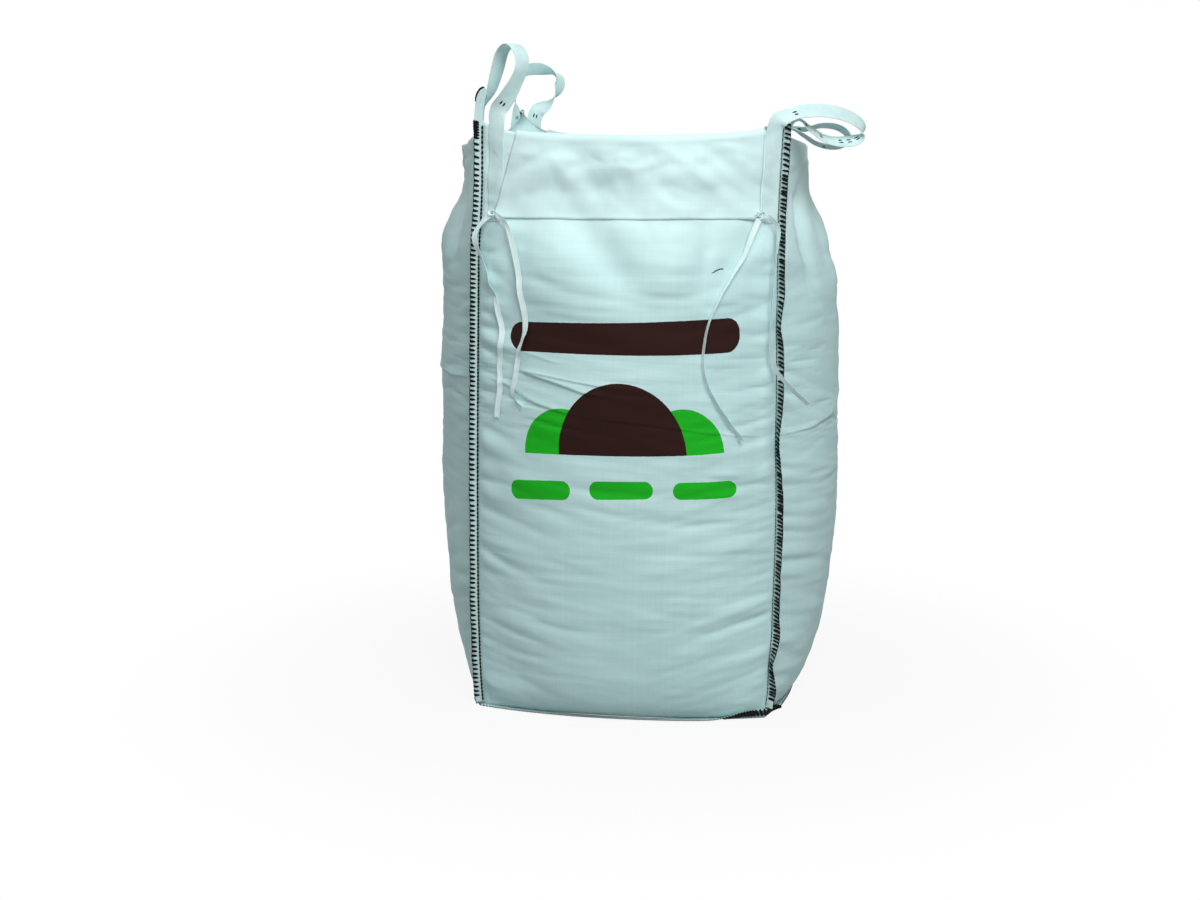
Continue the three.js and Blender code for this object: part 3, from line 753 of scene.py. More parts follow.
def add_thread(mesh, points, facings, half_width, half_thick):
    """A flat thread along a short line of points: a narrow grid rolled into a tapered tube."""
    last = len(points) - 1
    rolled = bmesh.ops.create_grid(mesh, x_segments=4, y_segments=last, size=0.5)["verts"]
    for vert in rolled:
        i = round((vert.co.y + 0.5) * last)
        turn = 2 * math.pi * (vert.co.x + 0.5)
        along = (points[min(i + 1, last)] - points[max(i - 1, 0)]).normalized()
        side = along.cross(facings[i]).normalized()
        taper = 0.45 if i in (0, last) else 1.0
        across = side * (half_width * math.cos(turn)) + facings[i] * (half_thick * math.sin(turn))
        vert.co = points[i] + across * taper


def close_threads(mesh):
    """Joins the rolled edges of every thread in a mesh and closes its ends."""
    bmesh.ops.remove_doubles(mesh, verts=mesh.verts[:], dist=0.00002)
    bmesh.ops.holes_fill(mesh, edges=[e for e in mesh.edges if e.is_boundary], sides=0)
    bmesh.ops.recalc_face_normals(mesh, faces=mesh.faces[:])


def stitch_row(mesh, corner, reach, face, pitch, half_width):
    """A row of end to end stitches up the fin, on one face of it or on its edge."""
    skin = FIN_THICK / 2 + 0.0006
    for i in range(int((RIM_HEIGHT - corner["foot"] - 0.01) / pitch)):
        height = corner["foot"] + 0.006 + i * pitch
        points = [fin_point(corner, height + 0.96 * pitch * s, reach, -face * skin) for s in (0.0, 0.5, 1.0)]
        root, way, facing = fin_frame(corner, height)
        add_thread(mesh, points, [facing * -face if face else way] * 3, half_width, 0.0011)


def make_overlock(name, corner):
    """The bars over the fin, its edge thread and the chain stitch at its root, in one piece."""
    thread = bmesh.new()
    pitch, half_width, slope = corner["bar"]
    skin = FIN_THICK / 2 + 0.0006
    route = [(0.30, -1), (0.55, -1), (0.80, -1), (0.99, -1), (1.06, 0), (0.99, 1), (0.75, 1), (0.45, 1)]
    loose = corner["loose"]
    height = corner["foot"] + 0.012
    i = 0
    while height < RIM_HEIGHT:
        i += 1
        dense = corner["tab"] > 0.05 and height > RIM_HEIGHT - 0.045
        height += pitch * (0.45 if dense else 1.0 + 0.17 * loose * crinkle(i * 0.73, 2.0, 110 + corner["seam"]))
        swell = 1.0 + 0.25 * loose * crinkle(i * 0.61, 4.0, 115 + corner["seam"])
        slant = slope * (1.0 + 0.6 * loose * crinkle(i * 0.83, 6.0, 118 + corner["seam"]))
        points = []
        facings = []
        for k, (reach, face) in enumerate(route):
            rise = height + slant * (1.0 - 2.0 * k / (len(route) - 1))
            points.append(fin_point(corner, rise, reach, -face * skin))
            root, way, facing = fin_frame(corner, rise)
            facings.append(way if face == 0 else facing * -face)
        add_thread(thread, points, facings, half_width * swell, 0.0012)
    stitch_row(thread, corner, 1.05, 0, 0.0125, 0.0017)
    for face in (-1, 1):
        stitch_row(thread, corner, 0.12, face, 0.0105, corner["chain"])
    if corner["tab"] > 0.05:
        top = RIM_HEIGHT + corner["tab"]
        bound = [(1.04, -0.034), (1.05, -0.022), (1.04, -0.012), (0.90, -0.002), (0.66, 0.002), (0.42, 0.002)]
        points = [fin_point(corner, top + rise, reach, 0.0) for reach, rise in bound]
        facings = [fin_frame(corner, top)[2]] * len(bound)
        add_thread(thread, points, facings, 0.0026, 0.0026)
    close_threads(thread)
    piece = make_piece("overlock_" + name, thread)
    piece.data.materials.append(black_thread)
    return piece


def thread_material():
    """Black multifilament thread: matt, with a fine twist and a little grey fluff."""
    material, tree, shader = start_material("black_thread", 0.8)
    shader.inputs["Specular IOR Level"].default_value = 0.12
    coordinates = new_node(tree, "ShaderNodeTexCoord").outputs["Object"]
    fluff = new_node(tree, "ShaderNodeTexNoise", {"Vector": coordinates, "Scale": 420.0, "Detail": 3.0})
    colour = new_node(
        tree,
        "ShaderNodeMix",
        {"Factor": fluff.outputs["Fac"], 6: (0.002, 0.003, 0.003, 1.0), 7: (0.012, 0.015, 0.016, 1.0)},
        data_type="RGBA",
    )
    tree.links.new(colour.outputs[2], shader.inputs["Base Color"])
    twist = new_node(
        tree, "ShaderNodeTexWave", {"Vector": coordinates, "Scale": 210.0}, bands_direction="DIAGONAL"
    )
    bumps = new_node(
        tree, "ShaderNodeBump", {"Height": twist.outputs["Fac"], "Strength": 0.5, "Distance": 0.0004}
    )
    tree.links.new(bumps.outputs[0], shader.inputs["Normal"])
    return material


seam_cloth = woven_material("seam_cloth", "cloth", (0.66, 0.86, 0.85), (0.52, 0.70, 0.70), 0.3)
black_thread = thread_material()
for corner_name, corner in CORNERS.items():
    make_fin(corner_name, corner)
    make_overlock(corner_name, corner)


# The base seam. The foot of the panels and the edge of the base are overlocked together in the same
# black thread, and the strip lies on the floor round the foot.
BASE_SEAM_WIDTH = 0.014
BASE_SEAM_THICK = 0.0026
BASE_SEAM_LIFT = 0.0021
BASE_SEAM_LEAN = 0.0045
BASE_SEAM_TURN = math.radians(72)


def base_turn(panel):
    """How far the strip is turned up off the floor, from none to one: at the front right corner."""
    return ease(panel, 0.78, 0.96) * (1.0 - ease(panel, 1.03, 1.14))


def base_seam_point(panel, reach, lift):
    before = wall_point((panel - 0.03) % 4, 0.0)
    after = wall_point((panel + 0.03) % 4, 0.0)
    along = (after - before).normalized()
    out = along.cross(UP)
    turned = base_turn(panel % 4)
    turn = BASE_SEAM_TURN * turned
    width = BASE_SEAM_WIDTH * (1.0 + turned)
    rise = width * max(reach, 0.0) * math.sin(turn)
    foot = wall_point(panel % 4, 0.0)
    lean = (wall_point(panel % 4, BASE_SEAM_LEAN + rise) - foot).dot(out)
    past = width * reach * math.cos(turn) - lift * math.sin(turn)
    place = foot + out * (lean + 0.004 * turned + past)
    place.z = BASE_SEAM_LIFT + rise + lift * math.cos(turn)
    return place


base_strip = bmesh.new()
base_uv = base_strip.loops.layers.uv.new("cloth")
bmesh.ops.create_grid(base_strip, x_segments=4 * 60, y_segments=3, size=0.5, calc_uvs=True)
for face in base_strip.faces:
    for loop in face.loops:
        loop[base_uv].uv = ((loop.vert.co.x + 0.5) * 3.4, (loop.vert.co.y + 0.5) * BASE_SEAM_WIDTH)
for vert in base_strip.verts:
    vert.co = base_seam_point((vert.co.x + 0.5) * 4, vert.co.y + 0.5, 0.0)
bmesh.ops.remove_doubles(base_strip, verts=base_strip.verts[:], dist=0.0002)
bmesh.ops.solidify(base_strip, geom=base_strip.faces[:], thickness=BASE_SEAM_THICK)
bmesh.ops.recalc_face_normals(base_strip, faces=base_strip.faces[:])
base_seam = make_piece("base_seam_strip", base_strip, ["base_seam"])
base_seam.data.materials.append(seam_cloth)

base_thread = bmesh.new()
BASE_BARS = 400
for i in range(BASE_BARS):
    panel = 4 * i / BASE_BARS
    points = [base_seam_point(panel + 0.002 * k, 0.25 + 0.15 * k, 0.0018) for k in range(6)]
    points.append(base_seam_point(panel + 0.012, 1.04, 0.0002))
    facings = [UP] * 6 + [(points[6] - points[5]).normalized()]
    if base_turn(panel) > 0.3:
        under = [base_seam_point(panel + 0.012 + 0.002 * k, 0.95 - 0.17 * k, -0.0020) for k in range(5)]
        facing = (base_seam_point(panel, 0.5, -0.01) - base_seam_point(panel, 0.5, 0.0)).normalized()
        points.extend(under)
        facings.extend([facing] * 5)
    add_thread(base_thread, points, facings, 0.0044, 0.0010)
    edge = [base_seam_point(panel + k / BASE_BARS / 2, 1.08, 0.0004) for k in range(3)]
    add_thread(base_thread, edge, [UP] * 3, 0.0016, 0.0019)
close_threads(base_thread)
base_overlock = make_piece("base_overlock", base_thread)
base_overlock.data.materials.append(black_thread)


# The lift loops. Flat white polypropylene webbing, sewn down on the two panels that meet at a corner
# and standing or flopping over above the rim, as slack loops do.
WEB_WIDTH = 0.045
WEB_THICK = 0.0015
WEB_LEG = 0.235
WEB_STANDOFF = 0.0035
REST_GAP = 0.0018
SEWN_GAP = 0.0012
LOOP_ROUTES = {
    "front_left": [
        (43, -2, 26, 1, 0.25, 0),
        (66, -2, 52, 0.9, 0.5, 0),
        (98, -1, 98, 0.75, 0.7, 0),
        (117, 0, 136, 0.7, 0.73, 0),
        (116, 8, 172, 0.7, 0.73, 0),
        (92, 22, 197, 0.7, 0.73, 0),
        (70, 36, 178, 0.7, 0.73, 0),
        (58, 43, 139, 0.7, 0.73, 0),
        (36, 42, 76, 0.6, 0.8, 0),
        (12, 44, 32, 0.3, 0.95, 0),
    ],
    "front_right": [
        (10, -14, 14, 1, 0.3, 0.3),
        (-26, -10, 29, 0.4, 0.8, 0.5),
        (-64, -3, 37, 0, 0.8, 0.6),
        (-106, 4, 39, 0, 0.8, 0.6),
        (-150, 10, 34, 0, 0.8, 0.6),
        (-192, 18, 22, 0, 0.8, 0.6),
        (-224, 26, 2, 0, 0.8, 0.6),
        (-231, 33, -17, 0, 0.8, 0.6),
        (-208, 39, -34, 0, 0.8, 0.6),
        (-162, 42, -41, 0, 0.9, 0.5),
        (-114, 43, -34, 0, 1, 0.3),
        (-70, 40, -9, 0, 1, 0.1),
        (-34, 31, 14, 0, 1, 0),
    ],
    "back_right": [
        (26, -9, 16, 1, 0.3, 0),
        (2, -8, 26, 0.6, 0.9, 0.1),
        (-34, -3, 27, 0.2, 1, 0.2),
        (-82, 4, 24, 0, 1, 0.3),
        (-134, 11, 34, 0, 1, 0.3),
        (-178, 17, 30, 0, 1, 0.3),
        (-208, 23, 12, 0, 1, 0.3),
        (-216, 29, -10, 0, 1, 0.3),
        (-196, 34, -26, 0, 1, 0.3),
        (-156, 38, -30, 0, 1, 0.3),
        (-110, 41, -20, 0, 1, 0.2),
        (-66, 39, 6, 0, 1, 0.1),
        (-30, 31, 22, 0, 1, 0),
    ],
    "back_left": [
        (40, -4, 10, 1, 0.3, 0),
        (62, -2, 22, 0.9, 0.5, 0),
        (94, 2, 46, 0.6, 0.8, 0),
        (117, 6, 77, 0.1, 0.85, 0.3),
        (120, 10, 104, -0.3, 0.8, 0.45),
        (90, 15, 126, -0.3, 0.8, 0.55),
        (50, 20, 135, 0, 0.8, 0.5),
        (12, 25, 124, 0.3, 0.8, 0.3),
        (-4, 29, 90, 0.6, 0.75, 0),
        (-8, 31, 44, 0.6, 0.8, 0),
        (-4, 31, 14, 0.3, 0.95, 0),
    ],
}


def smooth_line(points, samples):
    """A smooth curve through the points, cut into a number of samples between each two."""
    ends = [2 * points[0] - points[1], *points, 2 * points[-1] - points[-2]]
    line = []
    for a, b, c, d in zip(ends, ends[1:], ends[2:], ends[3:]):
        first = max((b - a).length, 1e-6) ** 0.5
        second = first + max((c - b).length, 1e-6) ** 0.5
        third = second + max((d - c).length, 1e-6) ** 0.5
        for k in range(samples):
            t = mix(first, second, k / samples)
            low = a.lerp(b, t / first)
            middle = b.lerp(c, (t - first) / (second - first))
            high = c.lerp(d, (t - second) / (third - second))
            low = low.lerp(middle, t / second)
            high = middle.lerp(high, (t - first) / (third - first))
            line.append(low.lerp(high, (t - first) / (second - first)))
    line.append(points[-1].copy())
    return line


def even_ribbon(points, across, count, width, sewn=0.0):
    """Stations at even steps along a smooth path, each with its point, side and facing. Where the
    sack stands in the way the band comes to rest on it, and a sewn length at each end lies on it."""
    line = smooth_line(points, 12)
    turns = smooth_line([a.normalized() for a in across], 12)
    lengths = [0.0]
    for a, b in zip(line, line[1:]):
        lengths.append(lengths[-1] + (b - a).length)
    places = []
    sides = []
    k = 0
    for i in range(count + 1):
        wanted = lengths[-1] * i / count
        while k < len(lengths) - 2 and lengths[k + 1] < wanted:
            k += 1
        share = (wanted - lengths[k]) / (lengths[k + 1] - lengths[k])
        places.append(line[k].lerp(line[k + 1], share))
        sides.append(turns[k].lerp(turns[k + 1], share).normalized())
    for i in range(count + 1):
        inward = min(i, count - i) * lengths[-1] / count
        if inward < sewn:
            laid = on_sack(places[i], REST_GAP)
            places[i] = places[i].lerp(laid, 1.0 - ease(inward, 0.8 * sewn, sewn))
    for _ in range(3):
        for i, side in enumerate(sides):
            for reach in (-0.5, 0.0, 0.5):
                edge = places[i] + side * (width * reach)
                places[i] = places[i] + clear_of_sack(edge, REST_GAP) - edge
        eased = [a.lerp(b, 0.5) for a, b in zip(places, places[2:])]
        places[1:-1] = [p.lerp(e, 0.5) for p, e in zip(places[1:-1], eased)]
    ribbon = []
    for i, (place, side) in enumerate(zip(places, sides)):
        along = places[min(i + 1, count)] - places[max(i - 1, 0)]
        normal = along.cross(side).normalized()
        ribbon.append((place, normal.cross(along).normalized(), normal))
    return ribbon, sum((b - a).length for a, b in zip(places, places[1:]))


def make_ribbon(name, ribbon, length, width, thick, cells, cup, replaced, material, sewn=0.0):
    """A flat woven band along its stations, with a rounded edge and a slight hollow across. A sewn
    length at each end follows the cloth under it."""
    band = bmesh.new()
    uv = band.loops.layers.uv.new("cloth")
    rows = len(ribbon) - 1
    bmesh.ops.create_grid(band, x_segments=cells, y_segments=rows, size=0.5, calc_uvs=True)
    for face in band.faces:
        for loop in face.loops:
            loop[uv].uv = ((loop.vert.co.x + 0.5) * width, (loop.vert.co.y + 0.5) * length)
    for vert in band.verts:
        x = vert.co.x
        point, side, normal = ribbon[round((vert.co.y + 0.5) * rows)]
        hollow = cup * (4 * x * x - 0.33)
        along = length * (vert.co.y + 0.5)
        vert.co = point + side * (width * x) + normal * hollow
        inward = min(along, length - along)
        if inward < sewn:
            laid = on_sack(vert.co, SEWN_GAP)
            vert.co = vert.co.lerp(laid, 1.0 - ease(inward, 0.75 * sewn, sewn))
    bmesh.ops.recalc_face_normals(band, faces=band.faces[:])
    piece = make_piece(name, band, replaced)
    piece.data.materials.append(material)
    shell = piece.modifiers.new("thickness", "SOLIDIFY")
    shell.thickness = thick
    shell.offset = 0.0
    shell.use_even_offset = True
    edge = piece.modifiers.new("soft_edge", "BEVEL")
    edge.width = thick * 0.3
    edge.segments = 2
    edge.limit_method = "ANGLE"
    return piece


def webbing_material():
    """Close upright ribs of twisted yarn with fine picks across them, like all flat webbing."""
    material, tree, shader = start_material("white_webbing", 0.62)
    shader.inputs["Specular IOR Level"].default_value = 0.12
    uv = new_node(tree, "ShaderNodeUVMap", uv_map="cloth").outputs["UV"]
    ribs = new_node(
        tree, "ShaderNodeTexWave", {"Vector": uv, "Scale": 88.0, "Distortion": 0.6}, bands_direction="X"
    )
    picks = new_node(
        tree, "ShaderNodeTexWave", {"Vector": uv, "Scale": 150.0, "Distortion": 0.6}, bands_direction="Y"
    )
    cloud = new_node(tree, "ShaderNodeTexNoise", {"Vector": uv, "Scale": 26.0, "Detail": 4.0})
    rough = new_node(
        tree,
        "ShaderNodeMath",
        {0: ribs.outputs["Fac"], 1: 0.45, 2: cloud.outputs["Fac"]},
        operation="MULTIPLY_ADD",
    )
    spread = new_node(
        tree, "ShaderNodeMapRange", {"Value": rough.outputs[0], "From Min": 0.35, "From Max": 1.0}
    )
    colour = new_node(
        tree,
        "ShaderNodeMix",
        {"Factor": spread.outputs[0], 6: (0.56, 0.76, 0.76, 1.0), 7: (0.71, 0.92, 0.92, 1.0)},
        data_type="RGBA",
    )
    tree.links.new(colour.outputs[2], shader.inputs["Base Color"])
    height = new_node(
        tree,
        "ShaderNodeMath",
        {0: picks.outputs["Fac"], 1: 0.5, 2: ribs.outputs["Fac"]},
        operation="MULTIPLY_ADD",
    )
    bumps = new_node(
        tree, "ShaderNodeBump", {"Height": height.outputs[0], "Strength": 0.35, "Distance": 0.0007}
    )
    tree.links.new(bumps.outputs[0], shader.inputs["Normal"])
    return material


def panel_at(side, distance, height):
    """The panel number at a distance along a panel from its middle."""
    left = wall_point(side, height)
    right = wall_point((side + 1) % 4, height)
    half = Vector((right.x - left.x, right.y - left.y)).length / 2
    return side + min(max((1.0 + distance / half) / 2, 0.0001), 0.9999)


def loop_path(name, corner):
    """The whole route of a loop's webbing: up one leg, round the free loop and down the other."""
    rim = wall_point(corner["seam"], RIM_HEIGHT)
    legs = []
    for side, sign, inset in corner["legs"]:
        gap = wall_point((side + 1) % 4, RIM_HEIGHT) - wall_point(side, RIM_HEIGHT)
        half = gap.length / 2
        leg = []
        for drop in (WEB_LEG, 0.6 * WEB_LEG, 0.25 * WEB_LEG, 0.0):
            height = RIM_HEIGHT - drop
            panel = panel_at(side, sign * (inset - half), height)
            way = wall_point(panel + 0.02, height) - wall_point(panel - 0.02, height)
            way.z = 0.0
            leg.append((off_wall(panel, height, WEB_STANDOFF), way.normalized() * sign))
        legs.append(leg)
    first, second = legs[0][-1][1], legs[1][-1][1]
    path = list(legs[0])
    for a, b, rise, side_a, side_b, side_up in LOOP_ROUTES[name]:
        place = rim + (first * a + second * b + UP * rise) / 1000
        path.append((place, (first * side_a + second * side_b + UP * side_up).normalized()))
    path.extend(legs[1][::-1])
    return [p for p, s in path], [s for p, s in path]


# Short black tacks across the webbing: shares of the way round each loop.
TACKS = {
    "front_left": (0.31,),
    "front_right": (0.30, 0.55, 0.575, 0.60, 0.66, 0.71),
    "back_right": (0.34, 0.52, 0.62),
    "back_left": (0.29, 0.72),
}


def make_tacks(name, ribbon, shares):
    """Pairs of short black stitches through the webbing, seen on both its faces."""
    thread = bmesh.new()
    lift = WEB_THICK / 2 + 0.0009
    for share in shares:
        row = round(share * (len(ribbon) - 1))
        for place in (-0.12, 0.08):
            for face in (-1, 1):
                points = []
                for point, side, normal in (ribbon[row - 1], ribbon[row], ribbon[row + 1]):
                    points.append(point + side * (WEB_WIDTH * place) + normal * (face * lift))
                add_thread(thread, points, [ribbon[row][2] * face] * 3, 0.0024, 0.0008)
    close_threads(thread)
    piece = make_piece("loop_tacks_" + name, thread)
    piece.data.materials.append(black_thread)


white_webbing = webbing_material()
for corner_name, corner in CORNERS.items():
    loop_points, loop_sides = loop_path(corner_name, corner)
    loop_ribbon, loop_length = even_ribbon(loop_points, loop_sides, 170, WEB_WIDTH, WEB_LEG)
    loop_piece = make_ribbon(
        "webbing_loop_" + corner_name,
        loop_ribbon,
        loop_length,
        WEB_WIDTH,
        WEB_THICK,
        8,
        0.0012,
        ["lift_loop_" + corner_name],
        white_webbing,
        WEB_LEG,
    )
    make_tacks(corner_name, loop_ribbon, TACKS[corner_name])


# A snipped end of the black sewing thread, left on the front panel by static cling. It lies in a
# shallow bow on the cloth.
snip_mesh = bmesh.new()
snip_points = []
for k in range(7):
    snip_height = 1.222 + 0.0016 * k + 0.004 * math.sin(0.5 * k)
    snip_points.append(on_sack(wall_point(panel_at(0, 0.205 + 0.0046 * k, snip_height), snip_height), 0.0012))
add_thread(snip_mesh, snip_points, [-wall_normal(0.75, 1.22).cross(UP).cross(UP)] * 7, 0.0013, 0.0010)
close_threads(snip_mesh)
snip = make_piece("thread_snip", snip_mesh)
snip.data.materials.append(black_thread)


# The cover flap. A sheet of thin, brighter woven cloth sewn down behind the back rim, lying over the
# bowl of the top and hanging down over the front, where its two corners are tied.
FLAP_HALF_RIM = 0.317
FLAP_HALF_HEM = 0.341
FLAP_HALF_BACK = 0.301
FLAP_SHIFT_RIM = 0.017
FLAP_SHIFT_HEM = -0.012
FLAP_DROP = 0.226
FLAP_BACK = 0.040
FLAP_SEWN_STANDOFF = 0.003
FLAP_STANDOFF = 0.0075
FLAP_HEM_STANDOFF = 0.011
FLAP_THICK = 0.0008
FLAP_REST = 0.0022


def flap_standoff(drop):
    return mix(FLAP_STANDOFF, FLAP_HEM_STANDOFF, drop / FLAP_DROP)


RIM_STEPS = 1200
rim_start = wall_point(0, RIM_HEIGHT)
rim_turns = []
rim_points = []
for step in range(RIM_STEPS):
    rim_point = wall_point(4 * step / RIM_STEPS, RIM_HEIGHT)
    rim_turn = math.atan2(rim_point.y, rim_point.x) - math.atan2(rim_start.y, rim_start.x)
    rim_turns.append(rim_turn % (2 * math.pi) if step else 0.0)
    rim_points.append(rim_point)


def top_height(x, y):
    """The height of the closed top at a place inside the rim."""
    wanted = (math.atan2(y, x) - math.atan2(rim_start.y, rim_start.x)) % (2 * math.pi)
    rim = rim_points[min(bisect.bisect_left(rim_turns, wanted), RIM_STEPS - 1)]
    return bowl_height(rim.z, math.hypot(x, y) / math.hypot(rim.x, rim.y))


def flap_front(share, drop, extra):
    half = mix(FLAP_HALF_RIM, FLAP_HALF_HEM, drop / FLAP_DROP)
    shift = mix(FLAP_SHIFT_RIM, FLAP_SHIFT_HEM, drop / FLAP_DROP)
    height = RIM_HEIGHT - drop
    panel = panel_at(0, shift + half * (2 * share - 1), height)
    return off_wall(panel, height, extra)


def flap_back(share, drop, extra):
    height = RIM_HEIGHT - drop
    panel = panel_at(2, mix(FLAP_HALF_BACK, -FLAP_HALF_BACK, share), height)
    return off_wall(panel, height, extra)


# Folds of the hanging part: metres to the right of its middle, drop below the rim, half length and
# half width of the fold, its slope and how far it stands out or is pushed in.
FLAP_FOLDS = [
    (-0.235, 0.080, 0.070, 0.022, 75, 0.0060),
    (-0.165, 0.120, 0.100, 0.028, -50, 0.0080),
    (-0.095, 0.130, 0.100, 0.022, -47, -0.0060),
    (-0.020, 0.080, 0.120, 0.026, -36, 0.0095),
    (0.055, 0.120, 0.110, 0.024, -32, -0.0060),
    (0.120, 0.165, 0.100, 0.022, -26, -0.0050),
    (0.180, 0.122, 0.140, 0.019, -39, 0.0110),
    (0.232, 0.078, 0.120, 0.017, -42, -0.0060),
    (0.262, 0.054, 0.110, 0.018, -45, 0.0085),
]
FLAP_TOP = 0.93
FLAP_EDGE = 0.0022
LEG_STEP = 0.0006
FLAP_BELLY = 0.0060
FLAP_ROLL = 0.0080
FLAP_SEARCH = 0.15


def flap_crumple(share, drop):
    """How far the hanging part stands out: folds pulled slantwise between the two ties."""
    x = (share - 0.5) * 2 * FLAP_HALF_HEM
    crumple = 0.003 * crinkle(5.0 * share + 9.0 * drop, 9.0 * drop, 143)
    crumple += 0.0045 * puffs(5.0 * share + 12.0 * drop, 12.0 * drop, 144)
    for fold_x, fold_drop, half_length, half_width, slope, depth in FLAP_FOLDS:
        turn = math.radians(slope)
        run = (x - fold_x) * math.cos(turn) - (drop - fold_drop) * math.sin(turn)
        off = -(drop - fold_drop) * math.cos(turn) - (x - fold_x) * math.sin(turn)
        crumple += depth * hump(run, half_length) * hump(off, half_width)
    return crumple * ease(drop, 0.0, 0.035) * (1.0 - 0.6 * ease(drop, FLAP_DROP - 0.03, FLAP_DROP))


def leg_under(share, drop):
    """How much higher the flap lies where it passes over a sewn leg beside one of the seams."""
    low = drop / FLAP_DROP
    place = mix(FLAP_SHIFT_RIM, FLAP_SHIFT_HEM, low) + mix(FLAP_HALF_RIM, FLAP_HALF_HEM, low) * (2 * share - 1)
    half = (wall_point(1, RIM_HEIGHT - drop) - wall_point(0, RIM_HEIGHT - drop)).length / 2
    past_left = abs(half + place - CORNERS["front_left"]["legs"][0][2])
    past_right = abs(half - place - CORNERS["front_right"]["legs"][0][2])
    return LEG_STEP * (1.0 - ease(min(past_left, past_right), WEB_WIDTH / 2, WEB_WIDTH / 2 + 0.006))


def flap_point(share, along):
    """A point of the flap: a share of the way across, and the distance from its back hem."""
    if along < FLAP_BACK:
        return flap_back(share, FLAP_BACK - along, FLAP_SEWN_STANDOFF)
    if along < FLAP_BACK + FLAP_TOP:
        s = (along - FLAP_BACK) / FLAP_TOP
        place = flap_back(share, 0.0, 0.0).lerp(flap_front(share, 0.0, 0.0), s)
        lift = 0.012 * crinkle(7.0 * share + 2.0 * s, 9.0 * s, 131) + 0.012 * puffs(9.0 * share, 7.0 * s, 132)
        place.z = top_height(place.x, place.y) + FLAP_STANDOFF + max(lift * math.sin(math.pi * s), -0.003)
        return place
    drop = along - FLAP_BACK - FLAP_TOP
    low = drop / FLAP_DROP
    tied = (hump(share, 0.07) + hump(1.0 - share, 0.07)) * ease(low, 0.75, 1.0)
    belly = FLAP_BELLY * math.sin(math.pi * share) * math.sin(math.pi * ease(low, 0.0, 1.0))
    rest = FLAP_EDGE + leg_under(share, drop) + 0.0035 * (1.0 - ease(low, 0.0, 0.12))
    roll = FLAP_ROLL * math.sin(math.pi * min(low / 0.7, 1.0)) * min(2.5 * math.sin(math.pi * share), 1.0)
    hang = mix(rest + max(roll, 0.0), FLAP_HEM_STANDOFF, tied) + belly
    folded = flap_crumple(share, drop) * math.sin(math.pi * min(max(share, 0.0), 1.0)) ** 0.5
    hang = max(hang + folded, rest)
    wall = flap_front(share, drop, 0.0)
    facing = (flap_front(share, drop, 0.01) - wall).normalized()
    touch, normal, face, distance = sack_tree.ray_cast(wall + facing * FLAP_SEARCH, -facing)
    bulge = FLAP_SEARCH - distance if touch else 0.0
    return wall + facing * (hang + bulge * ease(low, 0.02, 0.25) * (1.0 - tied))


FLAP_LENGTH = FLAP_BACK + FLAP_TOP + FLAP_DROP
flap_sheet = bmesh.new()
flap_uv = flap_sheet.loops.layers.uv.new("cloth")
bmesh.ops.create_grid(flap_sheet, x_segments=116, y_segments=190, size=0.5, calc_uvs=True)
for face in flap_sheet.faces:
    for loop in face.loops:
        loop[flap_uv].uv = (
            (loop.vert.co.x + 0.5) * 2 * FLAP_HALF_HEM,
            (loop.vert.co.y + 0.5) * FLAP_LENGTH,
        )
for vert in flap_sheet.verts:
    vert.co = flap_point(vert.co.x + 0.5, (vert.co.y + 0.5) * FLAP_LENGTH)
for _ in range(3):
    for vert in flap_sheet.verts:
        vert.co = clear_of_sack(vert.co, FLAP_REST)
    bmesh.ops.smooth_vert(
        flap_sheet,
        verts=[v for v in flap_sheet.verts if not v.is_boundary],
        factor=0.25,
        use_axis_x=True,
        use_axis_y=True,
        use_axis_z=True,
    )
for vert in flap_sheet.verts:
    vert.co = clear_of_sack(vert.co, FLAP_REST)
bmesh.ops.recalc_face_normals(flap_sheet, faces=flap_sheet.faces[:])
flap = make_piece("cover_sheet", flap_sheet, ["cover_flap"])
flap.data.materials.append(woven_material("flap_cloth", "cloth", (0.72, 0.94, 0.94), (0.64, 0.86, 0.87), 0.08))
flap_shell = flap.modifiers.new("thickness", "SOLIDIFY")
flap_shell.thickness = FLAP_THICK
flap_shell.offset = 0.0


